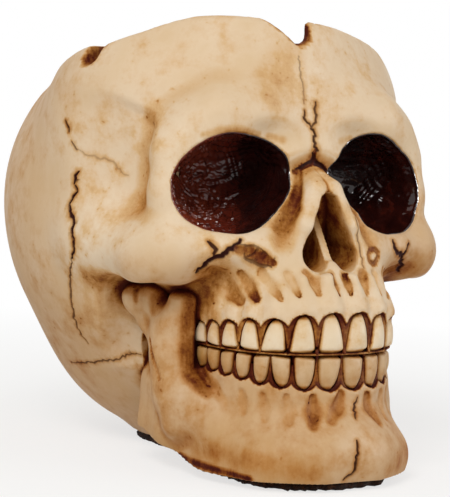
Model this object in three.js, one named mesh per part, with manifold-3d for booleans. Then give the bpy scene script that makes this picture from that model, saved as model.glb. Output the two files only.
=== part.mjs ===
// A cast resin skull with an open, notched crown, standing on its jaw and the stub of its neck.
// Millimetres, +Z up, face toward -Y, midline on x = 0, underside of the sole on z = 0.
import * as THREE from 'three';
import Module from 'manifold-3d';

const wasm = await Module();
wasm.setup();

// Clearance between neighbouring pieces, and the wider one where the jaw is bonded under the cheeks
const GAP = 0.3;
const JAW_GAP = 0.5;

// Sole and the heights above it
const SOLE_THICK = 2.2;
const BASE_Z = SOLE_THICK + GAP;
const MOUTH_Z = 35.5;
const JAW_BACK_Y = -12;

// Vault of the cranium
const VAULT_CENTRE = [0, 14.5, 70];
const VAULT_RADII = [52, 64, 50];
const VAULT_BELOW = 62.5;
const CROWN_CENTRE = [0, -2, 98];
const CROWN_RADII = [50.5, 38, 36];
const FOREHEAD_CENTRE = [0, -12, 104];
const FOREHEAD_RADII = [31, 27, 39];

// Rim of the open crown: high over the forehead, lower at the sides, falling to the back
const RIM_FRONT_Z = 124;
const RIM_SIDE_DROP = 11.5;
const RIM_DROP_FROM_Y = -35;
const RIM_DROP_TO_Y = 3;
const RIM_BACK_SLOPE = 0.28;
const BOWL_CENTRE = [0, 15, 116];
const BOWL_RADII = [36.5, 50, 40];
const NOTCH_RADIUS = 5.4;
const NOTCH_LENGTH = 30;
const FRONT_NOTCH_Y = -42;
const BACK_NOTCH_Y = 66;
const SIDE_NOTCH_Y = -2;
const SIDE_NOTCH_X = 46;

// Eye sockets, measured in their own frame: across, up and into the head
const SOCKET_CENTRE = [22.5, -41.5, 78.8];
const SOCKET_TURN = 8;
const SOCKET_TILT = 4;
const SOCKET_HALF_WIDE = 17.6;
const SOCKET_HALF_HIGH = 13.2;
const SOCKET_DEEP = 22;
const SOCKET_FLARE = 15;
const LINING_THICK = 3;
const LINING_SETBACK = 1.5;

// Nose opening
const NOSE_TOP_Z = 77;
const NOSE_LOW_Z = 58;
const NOSE_HALF_WIDE = 9;
const NOSE_HALF_TOP = 2.2;
const NOSE_BACK_Y = -40;
const NOSE_LOBE = [5, 60.8];
const NOSE_LOBE_RADIUS = 4.7;
const SEPTUM_HALF_THICK = 1;
const SEPTUM_FRONT_Y = -50;

// Dental arch, a rounded U in plan: half width and length of the outer face of each row
const ARCH_BACK_Y = -32;
const ARCH_POWER = 2.5;
const UPPER_ARCH = [27.6, 32.4];
const LOWER_ARCH = [26.8, 31.4];
const UPPER_GUM_Z = 46.2;
const LOWER_GUM_Z = 24.6;
const TOOTH_DEEP = 5.2;
const UPPER_WIDTHS = [8.6, 8.0, 7.6, 6.7, 6.2, 5.9, 5.5];
const LOWER_WIDTHS = [6.6, 6.4, 6.2, 6.0, 5.9, 5.7, 5.3, 4.9];

// Surface spacing of the two large castings, and the room left around the cranium's skin
const CRANIUM_STEP = 5;
const CAST_ROOM = 7;
const MANDIBLE_STEP = 3.5;

// Colours of the painted resin, the teeth, the socket lacquer and the sole
const IVORY = 0xd9c29a;
const TOOTH = 0xe0cda2;
const LACQUER = 0x2a0d08;
const SOLE_BROWN = 0x2c1a10;

// Distance fields. A point is [x, y, z]; a field is below zero inside the solid.

const clamp = (v, lo, hi) => Math.min(Math.max(v, lo), hi);

// Runs smoothly from 0 at lo to 1 at hi.
function ramp(v, lo, hi) {
  const t = clamp((v - lo) / (hi - lo), 0, 1);
  return t * t * (3 - 2 * t);
}

// Union of two fields with a fillet of about k.
function join(a, b, k) {
  const h = clamp(0.5 + 0.5 * (b - a) / k, 0, 1);
  return b + (a - b) * h - k * h * (1 - h);
}

// Field a with b taken away and the edge rounded by about k.
const carve = (a, b, k) => -join(-a, b, k);

function ellipsoid(p, centre, radii, power = 2) {
  const [x, y, z] = p.map((v, i) => v - centre[i]);
  const flat = Math.hypot(x / radii[0], y / radii[1]);
  const g = Math.max((flat ** power + Math.abs(z / radii[2]) ** power) ** (1 / power), 1e-4);
  return Math.hypot(x, y, z) * (1 - 1 / g);
}

// An ellipsoid whose half below the centre has its own height.
function egg(p, centre, radii, below) {
  const z = p[2] - centre[2];
  const level = z > 0 ? z : z * radii[2] / below;
  return ellipsoid([p[0], p[1], centre[2] + level], centre, radii);
}

// A round rod from a to b whose radius runs from ra to rb.
function rod(p, a, b, ra, rb) {
  const ab = b.map((v, i) => v - a[i]);
  const ap = p.map((v, i) => v - a[i]);
  const run = ab[0] * ap[0] + ab[1] * ap[1] + ab[2] * ap[2];
  const t = clamp(run / (ab[0] ** 2 + ab[1] ** 2 + ab[2] ** 2), 0, 1);
  return Math.hypot(...ap.map((v, i) => v - t * ab[i])) - (ra + t * (rb - ra));
}

// Rods through a row of stations [x, y, z, radius].
function ridge(p, stations, k) {
  let d = Infinity;
  for (let i = 1; i < stations.length; i += 1) {
    const a = stations[i - 1];
    const b = stations[i];
    const next = rod(p, a.slice(0, 3), b.slice(0, 3), a[3], b[3]);
    d = d === Infinity ? next : join(d, next, k);
  }
  return d;
}

// In plan, the distance to a rounded U that opens to the back.
function archField(p, halfWidth, length) {
  const x = p[0];
  if (p[1] > ARCH_BACK_Y) return x - halfWidth;
  const y = ARCH_BACK_Y - p[1];
  const g = ((x / halfWidth) ** ARCH_POWER + (y / length) ** ARCH_POWER) ** (1 / ARCH_POWER);
  return Math.hypot(x, y) * (1 - 1 / Math.max(g, 1e-4));
}

// Outer skin of the cranium, one side: vault, forehead, brows, cheekbones, upper jaw, nose bridge, neck.
function craniumField([px, y, z]) {
  const p = [Math.abs(px), y, z];
  let d = egg(p, VAULT_CENTRE, VAULT_RADII, VAULT_BELOW);
  d = join(d, ellipsoid(p, CROWN_CENTRE, CROWN_RADII), 14);
  d = join(d, ellipsoid(p, FOREHEAD_CENTRE, FOREHEAD_RADII, 2.3), 9);
  d = carve(d, ellipsoid(p, [60, -24, 80], [15, 15, 20]), 9);
  const brow = [[5, -39.5, 88, 5], [13, -40.5, 93.5, 5.5], [25, -39.5, 95, 5.5], [34, -36, 92, 5],
    [39, -34.5, 85, 4.8], [40.5, -35.5, 76, 4.8], [39.5, -38, 65, 6]];
  d = join(d, ridge(p, brow, 6), 9);
  d = join(d, ellipsoid(p, [38, -37.5, 60.5], [10, 10.5, 8]), 6);
  d = join(d, rod(p, [41, -32, 60], [43, -8, 62], 7, 7), 10);
  d = join(d, ridge(p, [[38, -39.5, 62, 6], [28, -44.5, 61, 5], [17, -48.5, 62, 4.5]], 4), 6);
  const rise = ramp(z, 44, 66);
  const jaw = archField(p, 27 - 2 * rise, 31.5 - 6.5 * rise);
  d = join(d, Math.max(jaw, MOUTH_Z - 6 - z, z - 70, y), 7);
  const noseSide = [[5, -39, 88, 4], [7.5, -42.5, 77, 4], [12, -49.5, 64, 4.2], [14, -52.5, 54, 4.5]];
  d = join(d, ridge(p, noseSide, 4), 5);
  const noseBridge = [[0, -38.5, 88, 4.5], [0, -43.5, 80.5, 4.2], [0, -49.5, 77.3, 3.2]];
  d = join(d, ridge(p, noseBridge, 3), 4);
  d = carve(d, ridge(p, [[41, -40, 43, 9], [41, -20, 41, 10.5], [39, -10, 28, 8]], 4), 4);
  d = carve(d, ellipsoid(p, [31, -54, 51], [9, 9, 8]), 6);
  return join(d, ellipsoid(p, [0, 8, 8], [14, 20, 10]), 6);
}

// Skin of the lower jaw, one side: body, chin, branch, condyle and coronoid tip.
function mandibleField([px, y, z]) {
  const p = [Math.abs(px), y, z];
  const low = ramp(z, 23, 9);
  const under = BASE_Z + 8 * ramp(y, -45, -14) * ramp(p[0], 18, 28);
  const body = archField(p, 26.3 + 4.2 * low, 30.8 + 5.7 * low);
  let d = Math.max(body, (under - z) * 0.9, z - MOUTH_Z + GAP / 2, y - JAW_BACK_Y);
  d = join(d, ellipsoid(p, [0, -61, 10.5], [15, 10.5, 8.5]), 8);
  d = join(d, rod(p, [8, -65, 8], [20, -58, 7.5], 5, 5), 6);
  d = join(d, ridge(p, [[28, -24, 15, 5.5], [30.5, -28, 26, 5.5], [32, -30, 40, 4]], 6), 6);
  d = join(d, rod(p, [29.5, -19, 16], [33.5, -17, 45], 4.2, 3.4), 5);
  d = join(d, ellipsoid(p, [34, -17, 46.5], [5, 4.2, 4]), 4);
  d = join(d, rod(p, [32, -31, 38], [33, -33, 48], 4.2, 3), 5);
  return Math.max(d, BASE_Z - z);
}

// A closed solid from its points and its triangles, turned so that its faces point out.
function solid(points, triangles) {
  let volume = 0;
  for (let i = 0; i < triangles.length; i += 3) {
    const [a, b, c] = [points[triangles[i]], points[triangles[i + 1]], points[triangles[i + 2]]];
    volume += a[0] * (b[1] * c[2] - b[2] * c[1]) + a[1] * (b[2] * c[0] - b[0] * c[2]);
    volume += a[2] * (b[0] * c[1] - b[1] * c[0]);
  }
  const order = volume < 0 ? triangles.slice().reverse() : triangles;
  const vertProperties = new Float32Array(points.flat());
  const triVerts = new Uint32Array(order);
  return new wasm.Manifold(new wasm.Mesh({ numProp: 3, vertProperties, triVerts }));
}

// Moves a point onto the zero surface of a field, no further than reach.
function settle(field, start, reach) {
  const p = start.slice();
  const h = 0.02;
  for (let turn = 0; turn < 4; turn += 1) {
    const value = field(p);
    const slope = [0, 1, 2].map((i) => {
      const q = p.slice();
      q[i] += h;
      return (field(q) - value) / h;
    });
    const size = Math.max(slope[0] ** 2 + slope[1] ** 2 + slope[2] ** 2, 0.05);
    slope.forEach((s, i) => {
      p[i] = clamp(p[i] - value * s / size, start[i] - reach, start[i] + reach);
    });
  }
  return p;
}

// The corners, edges and faces of one grid cell; a corner's bits are its steps along x, y and z.
const CORNERS = [0, 1, 2, 3, 4, 5, 6, 7].map((c) => [c >> 2, (c >> 1) & 1, c & 1]);
const EDGES = [];
for (const bit of [4, 2, 1]) {
  for (let a = 0; a < 8; a += 1) if (!(a & bit)) EDGES.push([a, a | bit]);
}
const FACES = [];
for (const bit of [4, 2, 1]) {
  for (const level of [0, bit]) {
    FACES.push(EDGES.map((_, e) => e).filter((e) => EDGES[e].every((c) => (c & bit) === level)));
  }
}

// The crossed edges of a cell, grouped by the sheet of surface that crosses them.
function sheets(inside) {
  const crossed = EDGES.map(([a, b]) => inside[a] !== inside[b]);
  const group = EDGES.map((_, e) => e);
  const merge = (a, b) => {
    const from = group[a];
    const to = group[b];
    group.forEach((g, e) => {
      if (g === from) group[e] = to;
    });
  };
  for (const face of FACES) {
    const cut = face.filter((e) => crossed[e]);
    if (cut.length === 2) merge(cut[0], cut[1]);
    if (cut.length !== 4) continue;
    for (let c = 0; c < 8; c += 1) {
      const pair = cut.filter((e) => EDGES[e].includes(c));
      if (inside[c] && pair.length === 2) merge(pair[0], pair[1]);
    }
  }
  return group.map((g, e) => (crossed[e] ? g : -1));
}

// The zero surface of a field as a closed solid: one point for each sheet of surface in each grid cell.
function cast(field, low, high, step) {
  const n = low.map((v, i) => Math.round((high[i] - v) / step) + 1);
  const at = (i, j, k) => (i * n[1] + j) * n[2] + k;
  const place = (i, j, k) => [low[0] + i * step, low[1] + j * step, low[2] + k * step];
  const values = new Float32Array(n[0] * n[1] * n[2]);
  for (let i = 0; i < n[0]; i += 1) {
    for (let j = 0; j < n[1]; j += 1) {
      for (let k = 0; k < n[2]; k += 1) values[at(i, j, k)] = field(place(i, j, k)) || 1e-6;
    }
  }
  const points = [];
  const pointAt = new Map();
  const fillCell = (i, j, k) => {
    const v = CORNERS.map(([a, b, c]) => values[at(i + a, j + b, k + c)]);
    const group = sheets(v.map((value) => value < 0));
    for (const sheet of new Set(group.filter((g) => g >= 0))) {
      const sum = [0, 0, 0];
      const members = EDGES.map((_, e) => e).filter((e) => group[e] === sheet);
      for (const e of members) {
        const [a, b] = EDGES[e];
        const t = v[a] / (v[a] - v[b]);
        for (let m = 0; m < 3; m += 1) sum[m] += CORNERS[a][m] + t * (CORNERS[b][m] - CORNERS[a][m]);
        pointAt.set(at(i, j, k) * 12 + e, points.length);
      }
      const start = place(i, j, k).map((o, m) => o + step * sum[m] / members.length);
      points.push(settle(field, start, 0.3 * step));
    }
  };
  for (let i = 0; i < n[0] - 1; i += 1) {
    for (let j = 0; j < n[1] - 1; j += 1) {
      for (let k = 0; k < n[2] - 1; k += 1) fillCell(i, j, k);
    }
  }
  const triangles = [];
  const far = (a, b) => Math.hypot(...points[a].map((v, m) => v - points[b][m]));
  const face = ([a, b, c, d]) => {
    if (far(a, c) < far(b, d)) triangles.push(a, b, c, a, c, d);
    else triangles.push(a, b, d, b, c, d);
  };
  const ringOfCells = [
    [4, [[0, -1, -1], [0, 0, -1], [0, 0, 0], [0, -1, 0]]],
    [2, [[-1, 0, -1], [-1, 0, 0], [0, 0, 0], [0, 0, -1]]],
    [1, [[-1, -1, 0], [0, -1, 0], [0, 0, 0], [-1, 0, 0]]],
  ];
  const joinCells = (i, j, k) => {
    const here = values[at(i, j, k)] < 0;
    for (const [bit, around] of ringOfCells) {
      const [di, dj, dk] = CORNERS[bit];
      if (here === values[at(i + di, j + dj, k + dk)] < 0) continue;
      const quad = around.map(([a, b, c]) => {
        const corner = -4 * a - 2 * b - c;
        const edge = EDGES.findIndex(([from, to]) => from === corner && to === (corner | bit));
        return pointAt.get(at(i + a, j + b, k + c) * 12 + edge);
      });
      face(here ? quad : quad.reverse());
    }
  };
  for (let i = 1; i < n[0] - 1; i += 1) {
    for (let j = 1; j < n[1] - 1; j += 1) {
      for (let k = 1; k < n[2] - 1; k += 1) joinCells(i, j, k);
    }
  }
  return solid(points, triangles);
}

// A closed solid skinned over rings of points, both ends closed by a fan.
function skinned(rings) {
  const n = rings[0].length;
  const points = rings.flat();
  const triangles = [];
  for (let r = 0; r < rings.length - 1; r += 1) {
    for (let i = 0; i < n; i += 1) {
      const a = r * n + i;
      const b = r * n + (i + 1) % n;
      triangles.push(a, b, b + n, a, b + n, a + n);
    }
  }
  for (const [first, flip] of [[0, true], [(rings.length - 1) * n, false]]) {
    const ring = points.slice(first, first + n);
    const middle = points.length;
    points.push([0, 1, 2].map((m) => ring.reduce((sum, p) => sum + p[m], 0) / n));
    for (let i = 0; i < n; i += 1) {
      const a = first + i;
      const b = first + (i + 1) % n;
      triangles.push(...(flip ? [b, a, middle] : [a, b, middle]));
    }
  }
  return solid(points, triangles);
}

// A closed solid from a three.js geometry, its shared corners merged.
function fromGeometry(geometry) {
  const flat = geometry.index ? geometry.toNonIndexed() : geometry;
  const position = flat.getAttribute('position');
  const seen = new Map();
  const points = [];
  const order = [];
  for (let i = 0; i < position.count; i += 1) {
    const p = [position.getX(i), position.getY(i), position.getZ(i)];
    const key = p.map((v) => Math.round(v * 1e4)).join();
    if (!seen.has(key)) {
      seen.set(key, points.length);
      points.push(p);
    }
    order.push(seen.get(key));
  }
  const triangles = [];
  for (let i = 0; i < order.length; i += 3) {
    const [a, b, c] = order.slice(i, i + 3);
    if (a !== b && b !== c && c !== a) triangles.push(a, b, c);
  }
  return solid(points, triangles);
}

function box(low, high) {
  const size = high.map((v, i) => v - low[i]);
  const geometry = new THREE.BoxGeometry(...size);
  geometry.translate(...low.map((v, i) => v + size[i] / 2));
  return fromGeometry(geometry);
}

// Flat outline of [x, y] points raised from z = low to z = high.
function raised(outline, low, high) {
  const shape = new THREE.Shape(outline.map(([x, y]) => new THREE.Vector2(x, y)));
  const geometry = new THREE.ExtrudeGeometry(shape, { depth: high - low, bevelEnabled: false });
  geometry.translate(0, 0, low);
  return fromGeometry(geometry);
}

function rimHeight(y) {
  const front = RIM_FRONT_Z - RIM_SIDE_DROP * ramp(y, RIM_DROP_FROM_Y, RIM_DROP_TO_Y);
  return front - RIM_BACK_SLOPE * Math.max(y - RIM_DROP_TO_Y, 0);
}

// Everything above the rim.
function aboveRim() {
  const rows = [];
  for (let y = -70; y <= 90; y += 4) rows.push([y, rimHeight(y)]);
  const half = 80;
  const rings = rows.map(([y, z]) => [[-half, y, z], [half, y, z], [half, y, 200], [-half, y, 200]]);
  return skinned(rings);
}

function bowl() {
  const geometry = new THREE.SphereGeometry(1, 32, 20);
  geometry.scale(...BOWL_RADII);
  geometry.translate(...BOWL_CENTRE);
  return fromGeometry(geometry);
}

// A round trough through the rim, running outward from the bowl toward [x, y].
function notch(x, y, z) {
  const geometry = new THREE.CylinderGeometry(NOTCH_RADIUS, NOTCH_RADIUS, NOTCH_LENGTH, 20);
  if (x) geometry.rotateZ(Math.PI / 2);
  geometry.translate(x, y, z);
  return fromGeometry(geometry);
}

// Where the socket's width has shrunk to, at a depth into the head.
function socketShare(deep) {
  const t = deep > 0 ? deep / SOCKET_DEEP : -deep / SOCKET_FLARE;
  return Math.sqrt(Math.max(1 - clamp(t, 0, 1) ** 2.2, 0));
}

// Ring of the socket at a depth, drawn in by inset; side is -1 for the skull's right, 1 for its left.
function socketRing(deep, inset, side, lumps = 0) {
  const count = 24;
  const turn = new THREE.Matrix4().makeRotationZ(-THREE.MathUtils.degToRad(SOCKET_TURN));
  turn.multiply(new THREE.Matrix4().makeRotationX(-THREE.MathUtils.degToRad(SOCKET_TILT)));
  const ring = [];
  for (let i = 0; i < count; i += 1) {
    const a = i / count * Math.PI * 2;
    const round = (Math.abs(Math.cos(a)) ** 2.4 + Math.abs(Math.sin(a)) ** 2.4) ** (-1 / 2.4);
    const wave = 1 - lumps * (0.5 + 0.5 * Math.sin(3 * a + deep) * Math.sin(5 * a - 0.4 * deep));
    const share = socketShare(deep);
    const across = Math.max(SOCKET_HALF_WIDE * share - inset, 0.6) * round * wave * Math.cos(a);
    const up = Math.max(SOCKET_HALF_HIGH * share - inset, 0.5) * round * wave * Math.sin(a);
    const p = new THREE.Vector3(across, deep, up).applyMatrix4(turn);
    ring.push([side * (SOCKET_CENTRE[0] + p.x), SOCKET_CENTRE[1] + p.y, SOCKET_CENTRE[2] + p.z]);
  }
  return ring;
}

function socket(side) {
  const depths = [-13, -8, -4, 0, 5, 10, 14, 17.5, 20, 21.5];
  return skinned(depths.map((deep) => socketRing(deep, 0, side)));
}

// Lacquer lining: the back of the socket, a lumpy cup that opens to the front.
function lining(side) {
  const back = SOCKET_DEEP - GAP - 1.2;
  const outer = [back, 19, 16, 12, 8, LINING_SETBACK].map((deep) => socketRing(deep, GAP + 0.5, side));
  const inner = [LINING_SETBACK + 1, 8, 12, 15, back - LINING_THICK];
  const cup = inner.map((deep) => socketRing(deep, GAP + 0.5 + LINING_THICK * 0.7, side, 0.06));
  return skinned([...outer, ...cup]);
}

// Pear-shaped opening, narrow at the top, with a lobe each side of the spine at the bottom.
function noseOpening() {
  const rings = [];
  for (let i = 0; i <= 7; i += 1) {
    const up = i / 7;
    const z = NOSE_LOW_Z + up * (NOSE_TOP_Z - NOSE_LOW_Z);
    const half = NOSE_HALF_WIDE * (1 - up) ** 0.7 + NOSE_HALF_TOP * up;
    const back = NOSE_BACK_Y - 8 * up;
    rings.push([[-half, -75, z], [half, -75, z], [half * 0.9, back, z], [-half * 0.9, back, z]]);
  }
  let opening = skinned(rings);
  for (const side of [-1, 1]) {
    const geometry = new THREE.CylinderGeometry(NOSE_LOBE_RADIUS, NOSE_LOBE_RADIUS, 75 + NOSE_BACK_Y, 16);
    geometry.translate(side * NOSE_LOBE[0], (NOSE_BACK_Y - 75) / 2, NOSE_LOBE[1]);
    opening = opening.add(fromGeometry(geometry));
  }
  const septum = box([-SEPTUM_HALF_THICK, SEPTUM_FRONT_Y, 0], [SEPTUM_HALF_THICK, 0, 100]);
  return opening.subtract(septum);
}

// Stations along one half of a dental arch, from the midline back: point and outward normal at each run.
function archRun([halfWidth, length]) {
  const stations = [];
  let run = 0;
  for (let i = 0; i <= 400; i += 1) {
    const a = Math.PI / 2 * (1 - i / 400);
    const x = halfWidth * Math.max(Math.cos(a), 0) ** (2 / ARCH_POWER);
    const y = ARCH_BACK_Y - length * Math.max(Math.sin(a), 0) ** (2 / ARCH_POWER);
    const last = stations[i - 1];
    if (last) run += Math.hypot(x - last.x, y - last.y);
    const nx = (x / halfWidth) ** (ARCH_POWER - 1) / halfWidth;
    const ny = -(((ARCH_BACK_Y - y) / length) ** (ARCH_POWER - 1)) / length;
    const size = Math.hypot(nx, ny);
    stations.push({ run, x, y, nx: nx / size, ny: ny / size });
  }
  return stations;
}

function alongArch(stations, run) {
  return stations.find((s) => s.run >= run) ?? stations.at(-1);
}

// Rebate in a jaw that a row of teeth stands in, from the midline to the last molar on both sides.
function rebate(size, low, high) {
  const stations = archRun(size);
  const total = stations.at(-1).run;
  const half = [];
  for (let i = 0; i <= 16; i += 1) half.push(alongArch(stations, total * i / 16));
  const reach = 1.5;
  const shift = (s, d) => [s.x + s.nx * d, s.y + s.ny * d];
  const outer = half.map((s) => shift(s, reach));
  const inner = half.map((s) => shift(s, -TOOTH_DEEP - GAP));
  outer.push([outer.at(-1)[0], ARCH_BACK_Y + reach]);
  inner.push([inner.at(-1)[0], ARCH_BACK_Y + reach]);
  const mirrored = (row) => row.slice(1).map(([x, y]) => [-x, y]).reverse();
  const outline = [...mirrored(outer), ...outer, ...inner.slice().reverse(), ...mirrored(inner).reverse()];
  return raised(outline, low, high);
}

// Half width of a tooth as a share of its widest, from the biting edge (0) to the gum (1).
const TOOTH_OUTLINE = [[0, 0.8], [0.1, 0.96], [0.3, 1], [0.6, 0.9], [0.85, 0.66], [1, 0.36]];
const TOOTH_SECTION = [[-0.5, 0], [0.5, 0], [0.8, 0.35], [0.96, 0.74], [0.5, 1], [-0.5, 1], [-0.96, 0.74],
  [-0.8, 0.35]];

// One tooth, its flat back toward the jaw; edge and gum are heights.
function tooth(station, width, edge, gum, side) {
  const rings = TOOTH_OUTLINE.map(([h, share]) => TOOTH_SECTION.map(([across, out]) => {
    const a = across * share * width / 2;
    const o = (out * (0.8 + 0.2 * share) - 1) * TOOTH_DEEP;
    const x = station.x + station.nx * o - station.ny * a;
    const y = station.y + station.ny * o + station.nx * a;
    return [side * x, y, edge + h * (gum - edge)];
  }));
  return skinned(rings);
}

// Outline of the sole: the jaw's underside in front, the neck stub behind.
const SOLE_SIDE = [[3, -69.5], [12, -67], [19, -61], [22.5, -52], [22, -40], [19, -20], [12, -10], [11.5, 8],
  [10, 18], [5, 23.5]];

function sole() {
  const left = SOLE_SIDE.map(([x, y]) => [-x, y]).reverse();
  return raised([...SOLE_SIDE, ...left], 0, SOLE_THICK);
}

// The lower jaw, with the rebate for its teeth.
const LOWER_TOP = MOUTH_Z + 6;
const JAW_ROOM = [[-14, -24, -1], [14, 0, 17]].map((corner) => corner.map((n) => n * MANDIBLE_STEP));
const jawSkin = cast(mandibleField, ...JAW_ROOM, MANDIBLE_STEP);
const jawSeat = cast((p) => mandibleField(p) - JAW_GAP, ...JAW_ROOM, MANDIBLE_STEP);
const mandible = jawSkin.subtract(rebate(LOWER_ARCH, LOWER_GUM_Z - GAP, LOWER_TOP));

// The cranium, cut open above the rim and cleared for the jaw, the teeth and the linings.
const roomy = (size) => Math.ceil((size + CAST_ROOM) / CRANIUM_STEP) * CRANIUM_STEP;
const widest = Math.max(VAULT_RADII[0], CROWN_RADII[0]);
const halfRoom = roomy(widest) + CRANIUM_STEP / 2;
const frontRoom = roomy(UPPER_ARCH[1] - ARCH_BACK_Y);
const backRoom = roomy(VAULT_CENTRE[1] + VAULT_RADII[1]);
const topRoom = roomy(Math.max(FOREHEAD_CENTRE[2] + FOREHEAD_RADII[2], VAULT_CENTRE[2] + VAULT_RADII[2]));
const low = [-halfRoom, -frontRoom, -2 * CRANIUM_STEP];
const high = [halfRoom, backRoom, topRoom];
let cranium = cast(craniumField, low, high, CRANIUM_STEP);
const cuts = [
  aboveRim(),
  bowl(),
  notch(0, FRONT_NOTCH_Y, rimHeight(FRONT_NOTCH_Y)),
  notch(0, BACK_NOTCH_Y, rimHeight(BACK_NOTCH_Y)),
  notch(-SIDE_NOTCH_X, SIDE_NOTCH_Y, rimHeight(SIDE_NOTCH_Y)),
  notch(SIDE_NOTCH_X, SIDE_NOTCH_Y, rimHeight(SIDE_NOTCH_Y)),
  socket(-1),
  socket(1),
  noseOpening(),
  box([-70, -90, -20], [70, JAW_BACK_Y + GAP, MOUTH_Z + GAP / 2]),
  box([-70, -90, -20], [70, 90, BASE_Z]),
  rebate(UPPER_ARCH, MOUTH_Z - 6, UPPER_GUM_Z + GAP),
  jawSeat,
];
for (const piece of cuts) cranium = cranium.subtract(piece);

// The finished pieces, each a named mesh with its own material.
const skull = new THREE.Group();
skull.name = 'skull';

function addPiece(name, body, color, roughness) {
  const mesh = body.getMesh();
  const geometry = new THREE.BufferGeometry();
  geometry.setAttribute('position', new THREE.BufferAttribute(mesh.vertProperties.slice(), mesh.numProp));
  geometry.setIndex(new THREE.BufferAttribute(mesh.triVerts.slice(), 1));
  geometry.computeVertexNormals();
  const material = new THREE.MeshStandardMaterial({ color, roughness, metalness: 0 });
  const piece = new THREE.Mesh(geometry, material);
  piece.name = name;
  skull.add(piece);
}

addPiece('cranium', cranium, IVORY, 0.6);
addPiece('mandible', mandible, IVORY, 0.6);
addPiece('right_eye_lining', lining(-1), LACQUER, 0.2);
addPiece('left_eye_lining', lining(1), LACQUER, 0.2);
addPiece('base_sole', sole(), SOLE_BROWN, 0.9);

const rows = [
  ['upper', UPPER_ARCH, UPPER_WIDTHS, MOUTH_Z + GAP / 2, UPPER_GUM_Z],
  ['lower', LOWER_ARCH, LOWER_WIDTHS, MOUTH_Z - GAP / 2, LOWER_GUM_Z],
];
for (const [row, arch, widths, edge, gum] of rows) {
  const stations = archRun(arch);
  for (const [word, side] of [['right', -1], ['left', 1]]) {
    let run = 0;
    widths.forEach((width, i) => {
      const station = alongArch(stations, run + width / 2);
      addPiece(`${row}_tooth_${word}_${i + 1}`, tooth(station, width - GAP, edge, gum, side), TOOTH, 0.45);
      run += width;
    });
  }
}

export default skull;
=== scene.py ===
"""A cast resin skull with an open, notched crown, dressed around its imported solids.

Shapes are worked out in millimetres as fields of distance to the skin, below zero inside, and are cast as
meshes in metres. +Z is up, the face looks along -Y and the skull's right side is at -X.
"""
import math
from concurrent.futures import ThreadPoolExecutor
from functools import partial

import bpy
import numpy as np
import openvdb
from mathutils import Matrix, Vector


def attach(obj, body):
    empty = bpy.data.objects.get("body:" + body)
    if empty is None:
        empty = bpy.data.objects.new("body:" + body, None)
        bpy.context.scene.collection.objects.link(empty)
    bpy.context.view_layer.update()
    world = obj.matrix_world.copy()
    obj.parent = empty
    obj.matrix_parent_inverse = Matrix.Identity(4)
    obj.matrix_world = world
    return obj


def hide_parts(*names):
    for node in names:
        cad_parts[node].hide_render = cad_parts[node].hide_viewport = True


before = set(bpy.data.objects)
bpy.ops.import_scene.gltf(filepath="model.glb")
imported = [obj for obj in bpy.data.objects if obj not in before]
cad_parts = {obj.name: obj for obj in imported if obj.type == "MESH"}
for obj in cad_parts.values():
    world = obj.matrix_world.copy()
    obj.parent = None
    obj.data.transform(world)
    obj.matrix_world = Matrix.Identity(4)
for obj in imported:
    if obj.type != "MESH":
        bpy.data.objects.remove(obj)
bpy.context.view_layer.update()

MM = 0.001

# Heights and the rim of the open crown
BASE_Z = 2.5
MOUTH_Z = 35.5
# How far the two jaws run past each other behind the closed teeth
BITE_LAP = 0.35
JAW_BACK_Y = -12.0
# Height of the rim from front to back, and how much lower the left side of its front is
RIM_Y = (-40, -37, -35.4, -33, -30, -27, -24.2, -21.4, -19.2, -17.2,
         -14.4, -11.9, -9.4, -4.4, 0, 4, 10, 16, 75)
RIM_Z = (121.6, 121.9, 122.7, 123.1, 123.2, 123.1, 122.6, 121.3, 119.8, 118.1,
         116.6, 115.3, 114.1, 113.9, 112.8, 111.3, 109.5, 107.9, 93)
RIM_LEFT_DROP = 4.2
BOWL = ((0, 15, 116), (36.5, 50, 40))
# Notches in the rim: place of the axis, its height and its radius
FRONT_NOTCH = (-0.6, 119.3, 2.8)
SIDE_NOTCH = (-7.3, 111.0, 2.6)
BACK_NOTCH = (0.0, 92.0, 4.0)
# A point on the long worn slope of the front notch, seen from the notch's axis, and the way across that slope
FRONT_FLANK = (9.6, 3.5)
FLANK_FALL = (0.618, 0.786)

# Eye sockets: radii round the rim every 15 degrees, from the outer end over the top
SOCKET_CENTRE = (23.4, -41.5, 79.0)
RIGHT_SOCKET = (18.5, 17.2, 15.7, 14.6, 14.0, 13.7, 13.3, 13.2, 14.0, 15.4, 16.7, 17.1,
                16.3, 14.8, 13.5, 12.9, 13.1, 13.5, 13.9, 14.1, 14.7, 16.0, 17.6, 18.7)
LEFT_SOCKET = (16.9, 15.8, 14.3, 12.9, 12.5, 13.1, 14.1, 14.6, 14.9, 15.4, 17.0, 18.5,
               17.2, 15.1, 13.9, 14.0, 14.6, 14.7, 14.4, 14.4, 15.1, 16.2, 17.1, 17.3)
SOCKET_YAW = math.radians(-8)
SOCKET_PITCH = math.radians(4)
SOCKET_TURN_IN = 0.3
SOCKET_DEEP = 22.0
SOCKET_FLARE = 15.0

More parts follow.
